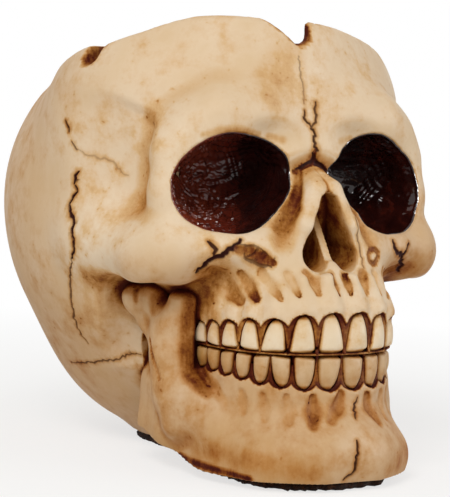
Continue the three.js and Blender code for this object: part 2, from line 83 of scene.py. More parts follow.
# Rows of teeth: half width and length of the arch, edge, taper, wear and tan (on the lower row partly painted
# shade), then crowns from the midline
ARCH_BACK_Y = -32.0
ARCH_POWER = 2.5
CROWN_POWER = 2.6
TOOTH_DEEP = 5.2
TOOTH_GAP = 0.3
GUM_GAP = 0.1
ROWS = {
    "upper": {"arch": (27.6, 32.4), "edge": 35.65, "up": 1, "taper": 0.4, "bite": 0.25, "tan": 0.0,
              "widths": (8.6, 8.0, 7.6, 6.7, 6.2, 5.9, 5.5),
              "heights": (10.6, 10.0, 8.7, 8.2, 7.2, 6.6, 6.0)},
    "lower": {"arch": (26.8, 31.4), "edge": 35.35, "up": -1, "taper": 0.22, "bite": 0.45, "tan": 0.72,
              "widths": (7.8, 6.8, 6.0, 5.3, 5.4, 5.3, 5.3, 4.9),
              "heights": (9.3, 9.1, 8.6, 8.0, 7.2, 6.7, 6.3, 6.0)},
}
# Scallops that the gum leaves free: how much wider and higher than the tooth, how deep and how far out
GUM_WIDER = 1.4
GUM_WIDEST = 1.1
GUM_RISE = 0.3
GUM_DEEP = 0.9
GUM_REACH = 2.0

# The camera stands to the skull's right, a little above it, tipped by a small roll
CAMERA_AZIMUTH = -33.0
CAMERA_ELEVATION = 4.5
CAMERA_ROLL = 2.5
CAMERA_DISTANCE = 600.0
CAMERA_TARGET = (0, -4, 58)
FOCAL_PIXELS = 2100.0
FRAME_PIXELS = 497.0
SENSOR_WIDTH = 36.0

# Spacing of the cast surfaces
FACE_STEP = 0.6
VAULT_STEP = 1.2
JAW_STEP = 0.6
LINING_STEP = 0.3
# How many parts of a field are worked out at once
WORKERS = 4


# Fields

def ramp(v, lo, hi):
    """Runs smoothly from 0 at lo to 1 at hi."""
    t = np.clip((v - lo) / (hi - lo), 0, 1)
    return t * t * (3 - 2 * t)


def join(a, b, k):
    """Union of two fields with a fillet of about k."""
    h = np.clip(0.5 + 0.5 * (b - a) / k, 0, 1)
    return b + (a - b) * h - k * h * (1 - h)


def carve(a, b, k):
    """Field a with b taken away and the edge rounded by about k."""
    return -join(-a, b, k)


def ellipsoid(p, centre, radii, power=2.0):
    x, y, z = (p[i] - centre[i] for i in range(3))
    flat = np.sqrt((x / radii[0]) ** 2 + (y / radii[1]) ** 2)
    if power == 2.0:
        g = np.sqrt(flat ** 2 + (z / radii[2]) ** 2)
    else:
        g = (flat ** power + np.abs(z / radii[2]) ** power) ** (1 / power)
    return np.sqrt(x * x + y * y + z * z) * (1 - 1 / np.maximum(g, 1e-4))


def egg(p, centre, radii, below):
    """An ellipsoid whose half below the centre has its own height."""
    z = p[2] - centre[2]
    level = np.where(z > 0, z, z * (radii[2] / below))
    return ellipsoid((p[0], p[1], centre[2] + level), centre, radii)


def off_line(p, a, b):
    """Squared distance to the line between two stations, and the width at its nearest point."""
    run = [b[i] - a[i] for i in range(3)]
    away = [p[i] - a[i] for i in range(3)]
    t = sum(u * v for u, v in zip(away, run)) / max(sum(v * v for v in run), 1e-6)
    t = np.clip(t, 0, 1)
    return sum((u - t * v) ** 2 for u, v in zip(away, run)), a[3] + t * (b[3] - a[3])


def rod(p, a, b):
    """A round rod between two stations (x, y, z, radius)."""
    far, radius = off_line(p, a, b)
    return np.sqrt(far) - radius


def ridge(p, stations, k):
    d = rod(p, stations[0], stations[1])
    for a, b in zip(stations[1:-1], stations[2:]):
        d = join(d, rod(p, a, b), k)
    return d


def close(p, stations, margin):
    """False where every point of p is further than margin from the box round the stations."""
    s = np.asarray(stations, float)
    lo = s[:, :3].min(0) - margin
    hi = s[:, :3].max(0) + margin
    return p[0].size > 0 and all(p[i].max() >= lo[i] and p[i].min() <= hi[i] for i in range(3))


def add(d, p, stations, k_along, k):
    """Joins a ridge to d, where it is near enough to matter."""
    if not close(p, stations, max(s[3] for s in stations) + k + 4):
        return d
    return join(d, ridge(p, stations, k_along), k)


def bump(p, stations):
    """1 on a line of stations (x, y, z, half width), falling to 0 at the half width."""
    out = np.zeros_like(p[0])
    if not close(p, stations, max(s[3] for s in stations)):
        return out
    pairs = zip(stations[:-1], stations[1:]) if len(stations) > 1 else [(stations[0], stations[0])]
    for a, b in pairs:
        far, wide = off_line(p, a, b)
        out = np.maximum(out, np.clip(1 - far / wide ** 2, 0, 1))
    return out * out


def arch(p, half, length):
    """In plan, the distance to a rounded U that opens to the back."""
    x = np.abs(p[0])
    y = np.maximum(ARCH_BACK_Y - p[1], 0)
    g = ((x / half) ** ARCH_POWER + (y / length) ** ARCH_POWER) ** (1 / ARCH_POWER)
    front = np.sqrt(x * x + y * y) * (1 - 1 / np.maximum(g, 1e-4))
    return np.where(p[1] > ARCH_BACK_Y, x - half, front)


def mirrored(p):
    return np.abs(p[0]), p[1], p[2]


def rim_height(x, y):
    """Height of the rim: it drops toward the back, and its front is lower on the left."""
    rim = np.interp(y, RIM_Y, RIM_Z).astype(np.float32)
    return rim - RIM_LEFT_DROP * ramp(x, 0, 32) * ramp(y, 10, -20)


# Where the temple's hollow begins, behind the outer edge of the brow: heights and the y there
TEMPLE_Z = (56, 61, 64, 69, 74, 82, 86.5, 92.7, 96, 98, 100, 103)
TEMPLE_Y = (-35, -35, -35.5, -36.5, -37.5, -36.5, -35.5, -32.5, -29, -26, -22, -16)


def temple(p):
    """Depth of the hollow behind the brow: a step at its front edge that runs out toward the back."""
    behind = p[1] - np.interp(p[2], TEMPLE_Z, TEMPLE_Y).astype(np.float32)
    depth = ramp(behind, -2, 6) * (1 - ramp(behind, 6, 36))
    depth = depth * ramp(p[2], 58, 84) * (1 - ramp(p[2], 95, 104))
    return depth * ramp(p[0], 30, 36)


# Main rounds of the head: centre and radii
VAULT = ((0, 14.4, 69.8), (52.3, 63.9, 52))
VAULT_BELOW = 59.0
CROWN = ((0, -2.9, 98), (52.1, 38.1, 36))
FOREHEAD = ((0, -12, 104), (29.5, 26.5, 39))
NAPE = ((0, 22.5, 31.4), (29.9, 41, 28.9))
NAPE_FILLET = 14
NECK = ((0, 10, 8), (15, 23, 11))
TEMPLE = ((60, -24, 80), (15, 15, 20))
CHEEKBONE = ((38.4, -34.6, 59.3), (10, 10.5, 8))
CANINE_HOLLOW = ((31, -54, 51), (9, 9, 8))
TEMPLE_DEPTH = 1.5

BROW = [(11, -36.8, 95.5, 4.2), (17, -37.6, 97, 4.5), (26, -38.6, 96.5, 4.7), (32.5, -35.3, 92, 4.5)]
SOCKET_SIDE = [(32.5, -35.3, 92, 5), (37.6, -33.8, 85, 4.8), (39.1, -34.8, 76, 4.8), (38.1, -37.3, 65, 6)]
CHEEK_FRONT = [(37.4, -38.4, 61.5, 6), (28, -44.5, 61, 5), (17, -48.5, 62, 4.5)]
BROW_LOBE = [(4.6, -41, 87, 3.6), (8, -38.6, 91.5, 4), (12, -36.8, 96, 4)]
NASION = ((0, -53, 82.5), (17, 9, 6.5))
INNER_BROW = ((13.5, -52.4, 91), (9, 9, 5.5))
CHEEK_ARCH = [(41.4, -29, 59.4, 7), (43.4, -5, 61.4, 7)]
NOSE_SIDE = [(3.2, -50.8, 77.6, 2.3), (4.2, -51.6, 73.5, 2.3), (7, -52.4, 68.4, 2.6), (9.2, -51, 63.8, 2.8),
             (10.2, -50.9, 60, 3), (9.4, -52.6, 56.4, 3)]
NOSE_BRIDGE = [(0.6, -37.6, 84.6, 2.2), (0.8, -42, 82, 2.5), (1.3, -46.8, 79.2, 2.7), (1.8, -50.4, 77.6, 2.6)]
NOSE_SPINE = [(0, -52.5, 58.2, 3.0), (0, -56.6, 56.6, 1.5)]
UNDER_CHEEK = [(41, -40, 43, 9), (41, -20, 41, 10.5), (39, -10, 28, 8)]


# Length of the upper jaw's arch at each height: it falls back toward the nose
JAW_RISE_Z = (44, 48, 52, 56, 60, 64, 68)
JAW_RISE_LENGTH = (32.4, 31.8, 29.8, 26.4, 23.2, 20.6, 17)


def cranium_skin(p):
    """Outer skin of the cranium: vault, forehead, brows, cheekbones, upper jaw, nose bridge and neck."""
    q = mirrored(p)
    d = egg(q, *VAULT, VAULT_BELOW)
    d = join(d, ellipsoid(q, *NAPE), NAPE_FILLET)
    d = join(d, ellipsoid(q, *CROWN), 14)
    d = join(d, ellipsoid(q, *FOREHEAD, 2.3), 9)
    d = carve(d, ellipsoid(q, *TEMPLE), 9)
    d = carve(d, ellipsoid(q, *NASION), 3)
    d = add(d, q, BROW, 6, 11)
    d = add(d, q, SOCKET_SIDE, 6, 8)
    d = carve(d, ellipsoid(q, *INNER_BROW), 4)
    d = add(d, q, BROW_LOBE, 3, 3.2)
    d = join(d, ellipsoid(q, *CHEEKBONE), 6)
    d = add(d, q, CHEEK_ARCH, 1, 10)
    d = add(d, q, CHEEK_FRONT, 4, 6)
    half = 27.6 - 2.6 * ramp(q[2], 44, 66)
    length = np.interp(q[2], JAW_RISE_Z, JAW_RISE_LENGTH).astype(np.float32)
    jaw = arch(q, half, length)
    jaw = np.maximum(np.maximum(jaw, MOUTH_Z - 6 - q[2]), np.maximum(q[2] - 70, q[1]))
    d = join(d, jaw, 7)
    d = add(d, q, NOSE_SIDE, 3, 4)
    d = add(d, q, NOSE_BRIDGE, 3, 3)
    d = carve(d, ridge(q, UNDER_CHEEK, 4), 3)
    d = carve(d, ellipsoid(q, *CANINE_HOLLOW), 6)
    d = join(d, ellipsoid(q, *NECK), 6)
    d = add(d, q, NOSE_SPINE, 1, 2.5)
    return d + TEMPLE_DEPTH * temple(q)


def sockets(p):
    """The two eye sockets, each an oval hollow that narrows into the head."""
    x, y, z = (v - c for v, c in zip(mirrored(p), SOCKET_CENTRE))
    c, s = math.cos(SOCKET_YAW), math.sin(SOCKET_YAW)
    x, y = c * x + s * y, -s * x + c * y
    c, s = math.cos(SOCKET_PITCH), math.sin(SOCKET_PITCH)
    y, z = c * y + s * z, -s * y + c * z
    x = x + SOCKET_TURN_IN * np.maximum(y, 0)
    turn = np.arctan2(z, x) % (2 * math.pi)
    angles = np.linspace(0, 2 * math.pi, len(RIGHT_SOCKET) + 1)
    right, left = (np.interp(turn, angles, t + t[:1]).astype(np.float32)
                   for t in (RIGHT_SOCKET, LEFT_SOCKET))
    r = np.sqrt(x * x + z * z)
    g = r / np.where(p[0] < 0, right, left)
    deep = np.clip(np.where(y > 0, y / SOCKET_DEEP, -y / SOCKET_FLARE), 0, 1)
    wide = np.sqrt(np.maximum(1 - deep ** 2.2, 1e-3))
    side = r * (1 - wide / np.maximum(g, 1e-4))
    return np.maximum(side, y - SOCKET_DEEP)


# Half width of the nose opening at each height, its lobes and the septum in it
NOSE_Z = (57, 59.1, 62.1, 64.8, 68.6, 72.5, 75, 76.4, 77.2)
NOSE_HALF = (6.4, 7.8, 8.3, 7.3, 5.5, 3.8, 2.9, 2.1, 0.8)
NOSE_FOOT_Z = 59.4
NOSE_LOBE = (4.9, 60.2, 3.7)
SEPTUM_HALF = 1.2


def septum_front(z):
    """Where the front edge of the septum lies at a height."""
    return -47.5 - (70 - z) * 0.667


def nose(p):
    """Pear-shaped opening with a lobe each side of the spine and the septum left standing inside."""
    x, z = np.abs(p[0]), p[2]
    half = np.interp(z, NOSE_Z, NOSE_HALF).astype(np.float32)
    d = np.maximum((x - half) * 0.85, np.maximum(NOSE_FOOT_Z - z, z - NOSE_Z[-1]))
    lobes = np.sqrt((x - NOSE_LOBE[0]) ** 2 + (z - NOSE_LOBE[1]) ** 2) - NOSE_LOBE[2]
    d = np.maximum(join(d, lobes, 1.2), p[1] + 40 + 8 * ramp(z, 58, 77))
    septum = np.maximum(x - SEPTUM_HALF, (septum_front(z) - p[1]) * 0.8)
    return carve(d, septum, 0.8)


def notches(p):
    """Round troughs through the rim: front, both sides and back."""
    front = trough(p[0], p[2], FRONT_NOTCH)
    along, up = FRONT_NOTCH[0] - p[0], p[2] - FRONT_NOTCH[1]
    flank = (along - FRONT_FLANK[0]) * FLANK_FALL[0] + (FRONT_FLANK[1] - up) * FLANK_FALL[1]
    front = join(front, np.maximum(flank, 0.75 * FRONT_NOTCH[2] - along), 2)
    side = trough(p[1], p[2], SIDE_NOTCH)
    back = trough(p[0], p[2], BACK_NOTCH)
    d = np.minimum(np.maximum(side, 30 - np.abs(p[0])), np.maximum(front, p[1] + 30))
    return np.minimum(d, np.maximum(back, 54 - p[1]))


def trough(along, z, notch):
    """A notch in its own section: a round bottom and upright walls."""
    return np.sqrt((along - notch[0]) ** 2 + np.minimum(z - notch[1], 0) ** 2) - notch[2]


def arch_run(half, length):
    """Points and outward normals along one half of an arch, with the run from the midline."""
    a = np.linspace(math.pi / 2, 0, 400)
    x = half * np.maximum(np.cos(a), 0) ** (2 / ARCH_POWER)
    y = ARCH_BACK_Y - length * np.maximum(np.sin(a), 0) ** (2 / ARCH_POWER)
    run = np.concatenate([[0], np.cumsum(np.hypot(np.diff(x), np.diff(y)))])
    nx = (x / half) ** (ARCH_POWER - 1) / half
    ny = -((ARCH_BACK_Y - y) / length) ** (ARCH_POWER - 1) / length
    size = np.hypot(nx, ny)
    return run, x, y, nx / size, ny / size


def tooth_places(row):
    """Midpoint, outward normal, width and height of each tooth of one half row, from the midline back."""
    run, *along = arch_run(*row["arch"])
    at = 0.0
    places = []
    for width, height in zip(row["widths"], row["heights"]):
        places.append([float(np.interp(at + width / 2, run, v)) for v in along] + [width, height])
        at += width
    return places


for row in ROWS.values():
    row["places"] = tooth_places(row)


def by_tooth(p, row, shape):
    """The nearest of the shapes that are set out along a row, each in its tooth's own frame."""
    q = mirrored(p)
    d = np.full_like(p[0], 40.0)
    if not close(q, [(0, -66, row["edge"] + row["up"] * 12), (28, -30, row["edge"])], 12):
        return d
    for x, y, nx, ny, width, height in row["places"]:
        out = (q[0] - x) * nx + (q[1] - y) * ny + TOOTH_DEEP / 2
        along = (q[1] - y) * nx - (q[0] - x) * ny
        d = np.minimum(d, shape(along, out, (q[2] - row["edge"]) * row["up"], width, height, row["taper"]))
    return d


def shield(h, taper):
    """Half width of a tooth as a share of its widest, from its biting edge at 0 to its round top at 1."""
    h = np.clip(h, 0, 1)
    return (1 - taper * h) * np.maximum(1 - h ** 5, 0.001) ** 0.45


def crown(along, out, up, width, height, taper):
    across = np.abs(along) / ((width - TOOTH_GAP) / 2 * np.maximum(shield(up / height, taper), 0.2))
    g = (across ** CROWN_POWER + (np.abs(out) * 2 / TOOTH_DEEP) ** CROWN_POWER) ** (1 / CROWN_POWER)
    r = np.sqrt(along ** 2 + out ** 2)
    return np.maximum(r * (1 - 1 / np.maximum(g, 1e-3)), np.maximum(up - height, -up))


def collar(along, out, up, width, height, taper):
    """The scallop that the gum leaves free in front of a tooth."""
    share = np.minimum(GUM_WIDER * shield(up / (height + GUM_RISE), taper), GUM_WIDEST)
    side = (np.abs(along) - width / 2 * share) * 0.8
    front = out - TOOTH_DEEP / 2
    deep = GUM_DEEP * (0.5 + 0.5 * ramp(up, 0.3, 1.6))
    ends = np.maximum(-deep - front, front - GUM_REACH)
    return np.maximum(np.maximum(side, up - (height + GUM_RISE)), ends)


def teeth(p, row):
    """All the teeth of one row, down to their worn edges."""
    return np.maximum(by_tooth(p, row, crown), row["bite"] - (p[2] - row["edge"]) * row["up"])


def gum_cut(p, row):
    """All the scallops of one row."""
    return by_tooth(p, row, collar)


# Chin and condyle of the jaw
CHIN = ((0, -61, 10.5), (15, 10.5, 8.5))
CHIN_CORNER = [(8, -65, 7, 5.2), (20, -58, 6.6, 5.2)]
CONDYLE = ((35.2, -15.6, 46.3), (4.4, 4.0, 3.9))
CONDYLE_FRONT = ((34.0, -22.8, 46.4), (3.6, 5.2, 4.4))
# Bars that make up the branch of the jaw, and how softly each is joined
JAW_BARS = (
    # heel
    ([(27, -24, 12, 5), (24.5, -15, 14, 5)], 7),
    ([(28.5, -24, 22, 4.5), (25, -14, 23, 5)], 7),
    # plate up to the coronoid tip
    ([(31.4, -32.5, 14, 4.2), (32.6, -32, 24, 3.8), (33.2, -31, 33, 3.3), (33.2, -31, 41, 3.1),
      (32.6, -32.6, 47, 2.7)], 4),
    ([(33.2, -29, 22, 3.2), (33.8, -28.6, 31, 3.0), (33.8, -27.2, 38, 2.8), (33.8, -25.4, 43, 2.4)], 4),
    # front edge and the slope down to the body
    ([(30.4, -34.7, 46.8, 2.2), (30.2, -33.3, 40, 2.3), (30.6, -33, 33.5, 2.5), (31.2, -33.6, 27.8, 2.6),
      (30, -37.5, 23.5, 2.5), (27.2, -43.2, 19.5, 2)], 3.5),
    ([(31.2, -33.5, 20, 4), (29.2, -38.5, 17, 3.6), (26.6, -44.5, 14, 3)], 6),
    # thin back edge up to the condyle
    ([(31.2, -28.3, 13, 1.6), (32.6, -28.9, 19, 2.3), (33, -28, 26, 2.6), (33, -26.4, 31.5, 2.6),
      (33, -24.4, 36, 2.6), (33.6, -20.5, 40, 2.8), (34.6, -15.5, 44, 3.2)], 2),
)


def jaw_skin(p):
    """Skin of the lower jaw: body, chin, branch with its back edge, condyle and coronoid tip."""
    q = mirrored(p)
    low = ramp(q[2], 23, 9)
    under = BASE_Z + 8 * ramp(q[1], -45, -14) * ramp(q[0], 18, 28)
    d = np.maximum(arch(q, 26.9 + 3.6 * low, 31.4 + 5.1 * low), (under - q[2]) * 0.9)
    d = np.maximum(d, np.maximum(q[2] - MOUTH_Z - BITE_LAP, q[1] - JAW_BACK_Y))
    d = join(d, ellipsoid(q, *CHIN), 8)
    d = add(d, q, CHIN_CORNER, 1, 6)
    for stations, k in JAW_BARS:
        d = add(d, q, stations, 3, k)
    d = join(d, ellipsoid(q, *CONDYLE), 2.5)
    d = join(d, ellipsoid(q, *CONDYLE_FRONT), 3.5)
    return np.maximum(d, BASE_Z - q[2])


# Hollows: side (0 both, -1 right, 1 left), stations (x out from the midline, y, z, half width), depth, wash
FACE_HOLLOWS = (
    # beside the nose bridge, from the brow down to the cheek
    (0, [(4.6, -45.6, 82.3, 1.0), (5.7, -47.5, 78.9, 1.5), (7.8, -49.5, 75, 2.1), (10.1, -50.8, 71.7, 2.8)],
     0.5, 0.28),
    (0, [(9.6, -50.8, 72.4, 2.4), (12.5, -51.3, 67.7, 3.6), (14.2, -53.1, 64.7, 3.2)], 0.6, 0.27),
    # suture between the brows that forks under them, across the root of the nose
    (0, [(0, -46.5, 88, 0.6), (0, -46, 86.4, 0.7), (0.3, -45, 84.8, 0.8), (3, -45, 83.6, 0.8),
         (5.6, -45, 82.2, 0.6)], 0.7, 0.4),
    # pit under the right socket, ring-shaped pit beside the nose on the left
    (-1, [(26.2, -50.6, 62.2, 1.2), (23.3, -51.9, 61.5, 2.1), (20.1, -53.8, 59.9, 2.0),
          (17.8, -55.6, 59, 0.9)], 1.3, 0.75),
    (1, [(15.2 + 1.9 * math.cos(t), -55.5 + 1.3 * math.cos(t), 60.6 + 2.2 * math.sin(t), 0.9)
         for t in (0.4, 1.2, 2, 2.8, 3.6, 4.4, 5.2, 6)], 0.8, 0.4),
    # between the roots of the upper teeth, from the cheek to the midline
    (0, [(30, -44.8, 56.4, 2.4), (27.5, -44.6, 54.2, 3.4), (24.8, -46, 50.7, 2.8), (23.6, -48.4, 48.4, 1.7)],
     1.1, 0.36),
    (0, [(23.6, -48.3, 55.4, 1.2), (21.6, -50.4, 51.8, 2.3), (20.7, -52.6, 49, 1.5)], 0.9, 0.4),
    (0, [(20.6, -53.3, 56.2, 1.5), (18.7, -56.1, 52.7, 2.2), (17.0, -58.1, 49.5, 1.0)], 0.8, 0.1),
    (0, [(14.6, -57, 56.5, 1.5), (13.4, -58.6, 53, 2.1), (12.6, -60, 50, 1.0)], 0.7, 0.08),
    (0, [(9.2, -58.8, 56.8, 1.7), (8.2, -59.9, 54, 2.2), (7.6, -61, 51, 1.0)], 0.8, 0.15),
    (0, [(2.8, -60, 56, 1.5), (2.4, -61, 53, 2.0), (2.2, -62, 50.5, 1.0)], 0.7, 0.1),
)
JAW_HOLLOWS = (
    (-1, [(0.4, -63.5, 25, 1.3), (2.2, -64.8, 21.5, 2.5), (5.4, -66.8, 18.4, 1.4)], 1.0, 0.42),
    (0, [(8.8, -62.7, 24.2, 1.3), (9, -63.9, 20.6, 2.5), (10.6, -66.2, 17, 1.4)], 1.0, 0.42),
    (0, [(14, -58.2, 24.3, 1.3), (14.8, -60.2, 21, 2.1), (15.6, -62.4, 17.6, 1.3)], 0.7, 0.13),
    (0, [(18.4, -54.2, 24.4, 1.3), (19.4, -56.6, 21.4, 1.9), (20.2, -57.8, 18.4, 1.2)], 0.6, 0.12),
    (0, [(21.6, -49.8, 24.6, 1.3), (22.6, -51.6, 22, 1.8), (23.2, -52.4, 19.4, 1.1)], 0.5, 0.1),
    # groove in front of the branch's back edge
    (0, [(35.7, -26.9, 36, 0.7), (36.4, -29.8, 31, 0.9), (36.6, -32, 25.8, 0.8)], 0.5, 0.2),
)
# Wash, and in places painted shade, where no furrow is: side, stations (x, y, z, reach) and strength
FACE_STAINS_AND_SHADE = (
    (0, [(0, -46, 89, 1.4), (0, -47, 86, 1.8)], 0.4),
    # old tan patch on the forehead
    (-1, [(6, -40.5, 113, 5), (10, -42, 106, 6), (12, -42, 101, 5)], 0.13),
    # along the brows above the sockets: a thin brown band, partly wash and partly painted shade
    (-1, [(33.6, -42.6, 91.4, 0.7), (29.5, -44.4, 92.6, 1.2), (23.6, -45.1, 92.8, 1.2),
          (16.6, -43.8, 92, 0.8)], 0.2),
    (0, [(13.4, -43.2, 91.6, 0.8), (9.4, -44.4, 90.7, 1.0)], 0.2),
    (0, [(33, -44, 56.6, 2.6), (28, -46, 56, 3.4)], 0.3),
    (0, [(28, -38.5, 47.6, 3.6), (27.2, -41, 43.8, 3)], 0.35),
    # behind the jaw's joint, below the cheek arch: a broad brown patch, partly wash and partly painted shade
    (0, [(41, -6, 47, 8), (40, 2, 38, 9)], 0.09),
    (0, [(1.6, -47, 80, 2.5), (2.2, -51, 77, 2.5), (5, -52, 72, 2.5)], 0.1),
    # under the cheek arch: painted shadow
    (0, [(44, -8, 53, 4), (42, -20, 51.5, 3.4)], 0.3),
    (0, [(42, -30, 95, 4), (44.5, -33, 87, 6), (46, -34, 76, 5)], 0.03),
)
JAW_STAINS_AND_SHADE = (
    # down the front edge of the jaw's branch, where it turns from the light: painted shade
    (0, [(31.6, -36, 47, 1.5), (31.4, -35.4, 40, 1.9), (31.6, -35.4, 33, 2.1), (31.4, -37.4, 26, 1.8),
         (28.6, -41.5, 21.5, 1.2)], 0.55),
    (0, [(35.6, -29.5, 47.6, 1.6), (36, -27, 46, 2.2), (36.4, -26.6, 43.6, 1.2)], 0.42),
    (0, [(37.6, -19, 48, 0.9), (37.4, -19.2, 45.6, 0.8)], 0.4),
    # on the back of the branch, below the joint: partly wash and partly painted shade
    (0, [(29.5, -20, 36, 5), (29, -18, 29, 4)], 0.45),
    # the dark ground edge under the jaw's side
    (0, [(30.5, -33.2, 5.2, 0.7), (30.4, -36.7, 4.6, 0.9), (30, -42.5, 4.2, 1.0), (28.2, -50.4, 3.7, 0.9),
         (25.4, -59.6, 3.2, 0.8)], 0.95),
    (0, [(30.1, -39.9, 9, 3), (27.9, -51.2, 8.5, 3), (24.1, -62.1, 7.5, 3), (12, -69, 5.5, 2.5)], 0.12),
    (0, [(36, -30, 28, 5), (35, -30, 16, 5)], 0.08),
)


def to_side(p, side):
    """Points with x measured out from the midline on one side, or on both when side is 0."""
    return (p[0] * side if side else np.abs(p[0])), p[1], p[2]


def in_parts(field, points, part=6000):
    """Values of a field at an array of points, worked out in parts side by side."""
    cols = np.ascontiguousarray(points, np.float32)
    spans = [cols[i:i + part] for i in range(0, len(cols), part)]
    with ThreadPoolExecutor(WORKERS) as pool:
        values = list(pool.map(lambda s: field((s[:, 0], s[:, 1], s[:, 2])), spans))
    return np.concatenate(values)


def slope(field, points, h=0.12):
    """Gradient of a field at an array of points."""
    cols = []
    for i in range(3):
        step = np.zeros(3, np.float32)
        step[i] = h
        cols.append((in_parts(field, points + step) - in_parts(field, points - step)) / (2 * h))
    return np.stack(cols, 1)


def settle(field, points, reach, turns=2):
    """Moves points onto the skin of a field, no further than reach in one turn."""
    points = np.asarray(points, np.float32)
    for _ in range(turns):
        g = slope(field, points)
        move = in_parts(field, points)[:, None] * g / np.maximum((g * g).sum(1), 0.2)[:, None]
        points = points - np.clip(move, -reach, reach)
    return points


def seated(skin, marks):
    """The same marks with every station moved onto the skin."""
    out = []
    for side, stations, *rest in marks:
        s = np.asarray(stations, np.float32)
        s[:, :3] = settle(skin, s[:, :3], reach=1.5, turns=4)
        out.append((side, [tuple(float(v) for v in row) for row in s], *rest))
    return out


FACE_HOLLOWS = seated(cranium_skin, FACE_HOLLOWS)
FACE_STAINS_AND_SHADE = seated(cranium_skin, FACE_STAINS_AND_SHADE)
JAW_HOLLOWS = seated(jaw_skin, JAW_HOLLOWS)
JAW_STAINS_AND_SHADE = seated(jaw_skin, JAW_STAINS_AND_SHADE)


def roots(d, p, row, run, reach):
    """Swellings of the jaw over the roots of a row of teeth."""
    q = mirrored(p)
    up = row["up"]
    if not close(q, [(0, -66, row["edge"]), (30, -30, row["edge"] + up * (run + 12))], 6):
        return d
    for x, y, nx, ny, width, height in row["places"]:
        gum = row["edge"] + up * height
        top = (x - nx * 3.2 + reach * nx, y - ny * 3.2 + reach * ny, gum + up * run, width * 0.24)
        foot = (x - nx * 2.4, y - ny * 2.4, gum + up * 1.2, width * 0.4)
        d = add(d, q, [foot, top], 1, 1.8)
    return d


def cranium(p):
    d = roots(cranium_skin(p), p, ROWS["upper"], run=8.5, reach=-1.6)
    for side, stations, depth, _ in FACE_HOLLOWS:
        d = d + depth * bump(to_side(p, side), stations)
    d = carve(d, sockets(p), 1.0)
    d = carve(d, nose(p), 0.9)
    d = carve(d, (rim_height(p[0], p[1]) - p[2]) * 0.9, 1.6)
    d = carve(d, ellipsoid(p, *BOWL), 1.6)
    d = carve(d, notches(p), 1.2)
    d = np.maximum(d, -np.maximum(p[1] - JAW_BACK_Y - TOOTH_GAP, p[2] - MOUTH_Z + BITE_LAP))
    d = carve(d, gum_cut(p, ROWS["upper"]), 1.0)
    d = carve(d, teeth(p, ROWS["upper"]) - GUM_GAP, 0.6)
    return np.maximum(d, BASE_Z - p[2])


def mandible(p):
    d = roots(jaw_skin(p), p, ROWS["lower"], run=6.5, reach=0.6)
    for side, stations, depth, _ in JAW_HOLLOWS:
        d = d + depth * bump(to_side(p, side), stations)
    d = carve(d, gum_cut(p, ROWS["lower"]), 1.0)
    return carve(d, teeth(p, ROWS["lower"]) - GUM_GAP, 0.6)


def everything(p):
    """The whole skull, to see how shut in a point of its skin is."""
    d = np.minimum(cranium(p), mandible(p))
    return np.minimum(d, np.minimum(teeth(p, ROWS["upper"]), teeth(p, ROWS["lower"])))


# Meshes

def cast(field, lo, hi, step, block=14):
    """Points and quads of the skin of a field in a box, worked out finely only near the skin."""
    lo = np.asarray(lo, np.float32)
    n = np.ceil((np.asarray(hi) - lo) / step / block).astype(int)
    corner = np.stack(np.meshgrid(*(np.arange(k) for k in n), indexing="ij"), -1).reshape(-1, 3) * block
    middle = lo + (corner + block / 2) * step
    rough = in_parts(field, middle)
    values = np.empty(n * block, np.float32)
    cells = np.stack(np.meshgrid(*(np.arange(block),) * 3, indexing="ij"), -1).reshape(-1, 3)
    near = np.abs(rough) < block * step * 1.15 + 2

    def fill(i):
        a = corner[i]
        span = tuple(slice(v, v + block) for v in a)
        if near[i]:
            p = (lo + (a + cells) * step).astype(np.float32)
            values[span] = field((p[:, 0], p[:, 1], p[:, 2])).reshape(block, block, block)
        else:
            values[span] = rough[i]

    with ThreadPoolExecutor(WORKERS) as pool:
        list(pool.map(fill, range(len(corner))))
    grid = openvdb.FloatGrid(60.0)
    grid.copyFromArray(values)
    points, quads = grid.convertToQuads(0.0)
    points = settle(field, points * step + lo, step * 0.5)
    return points, quads


def kept(points, quads, keep):
    """Only the quads that keep says, and the points that they use."""
    quads = quads[keep]
    used = np.unique(quads)
    renumber = np.full(len(points), -1)
    renumber[used] = np.arange(len(used))
    return points[used], renumber[quads]


def split(points, quads, chosen, parts, field, reach):
    """Splits the chosen quads parts by parts and settles the new points on the skin.
    An edge next to an unsplit quad stays straight, so that no gap opens there."""
    s = np.linspace(0, 1, parts + 1)
    u, v = (m.ravel() for m in np.meshgrid(s, s, indexing="ij"))
    weight = np.stack([(1 - u) * (1 - v), u * (1 - v), u * v, (1 - u) * v], 1)
    mine = quads[chosen]
    fresh = np.einsum("gc,qcm->qgm", weight, points[mine].astype(float))
    sides = np.sort(np.stack([mine, np.roll(mine, -1, 1)], -1), -1)
    keys = sides[..., 0].astype(np.int64) * len(points) + sides[..., 1]
    _, back, count = np.unique(keys.ravel(), return_inverse=True, return_counts=True)
    open_side = (count[back] == 1).reshape(keys.shape)
    on_side = np.stack([v == 0, u == 1, v == 1, u == 0], 0)
    locked = (open_side[:, :, None] & on_side[None]).any(1)
    corner = ((u == 0) | (u == 1)) & ((v == 0) | (v == 1))
    locked |= corner[None]
    flat = fresh.reshape(-1, 3)
    _, first, back = np.unique(np.round(flat * 2000).astype(np.int64), axis=0, return_index=True,
                               return_inverse=True)
    back = back.ravel()
    new = flat[first].astype(np.float32)
    held = np.zeros(len(first), bool)
    np.logical_or.at(held, back, locked.ravel())
    new[~held] = settle(field, new[~held], reach)
    cell = np.arange((parts + 1) ** 2).reshape(parts + 1, parts + 1)
    local = np.stack([cell[:-1, :-1], cell[1:, :-1], cell[1:, 1:], cell[:-1, 1:]], -1).reshape(-1, 4)
    small = back.reshape(len(mine), -1)[:, local].reshape(-1, 4) + len(points)
    both = np.concatenate([points, new])
    faces = np.concatenate([quads[~chosen], small])
    used, inverse = np.unique(faces, return_inverse=True)
    return both[used], inverse.reshape(-1, 4)


def unit(v):
    return v / np.maximum(np.linalg.norm(v, axis=1), 1e-9)[:, None]


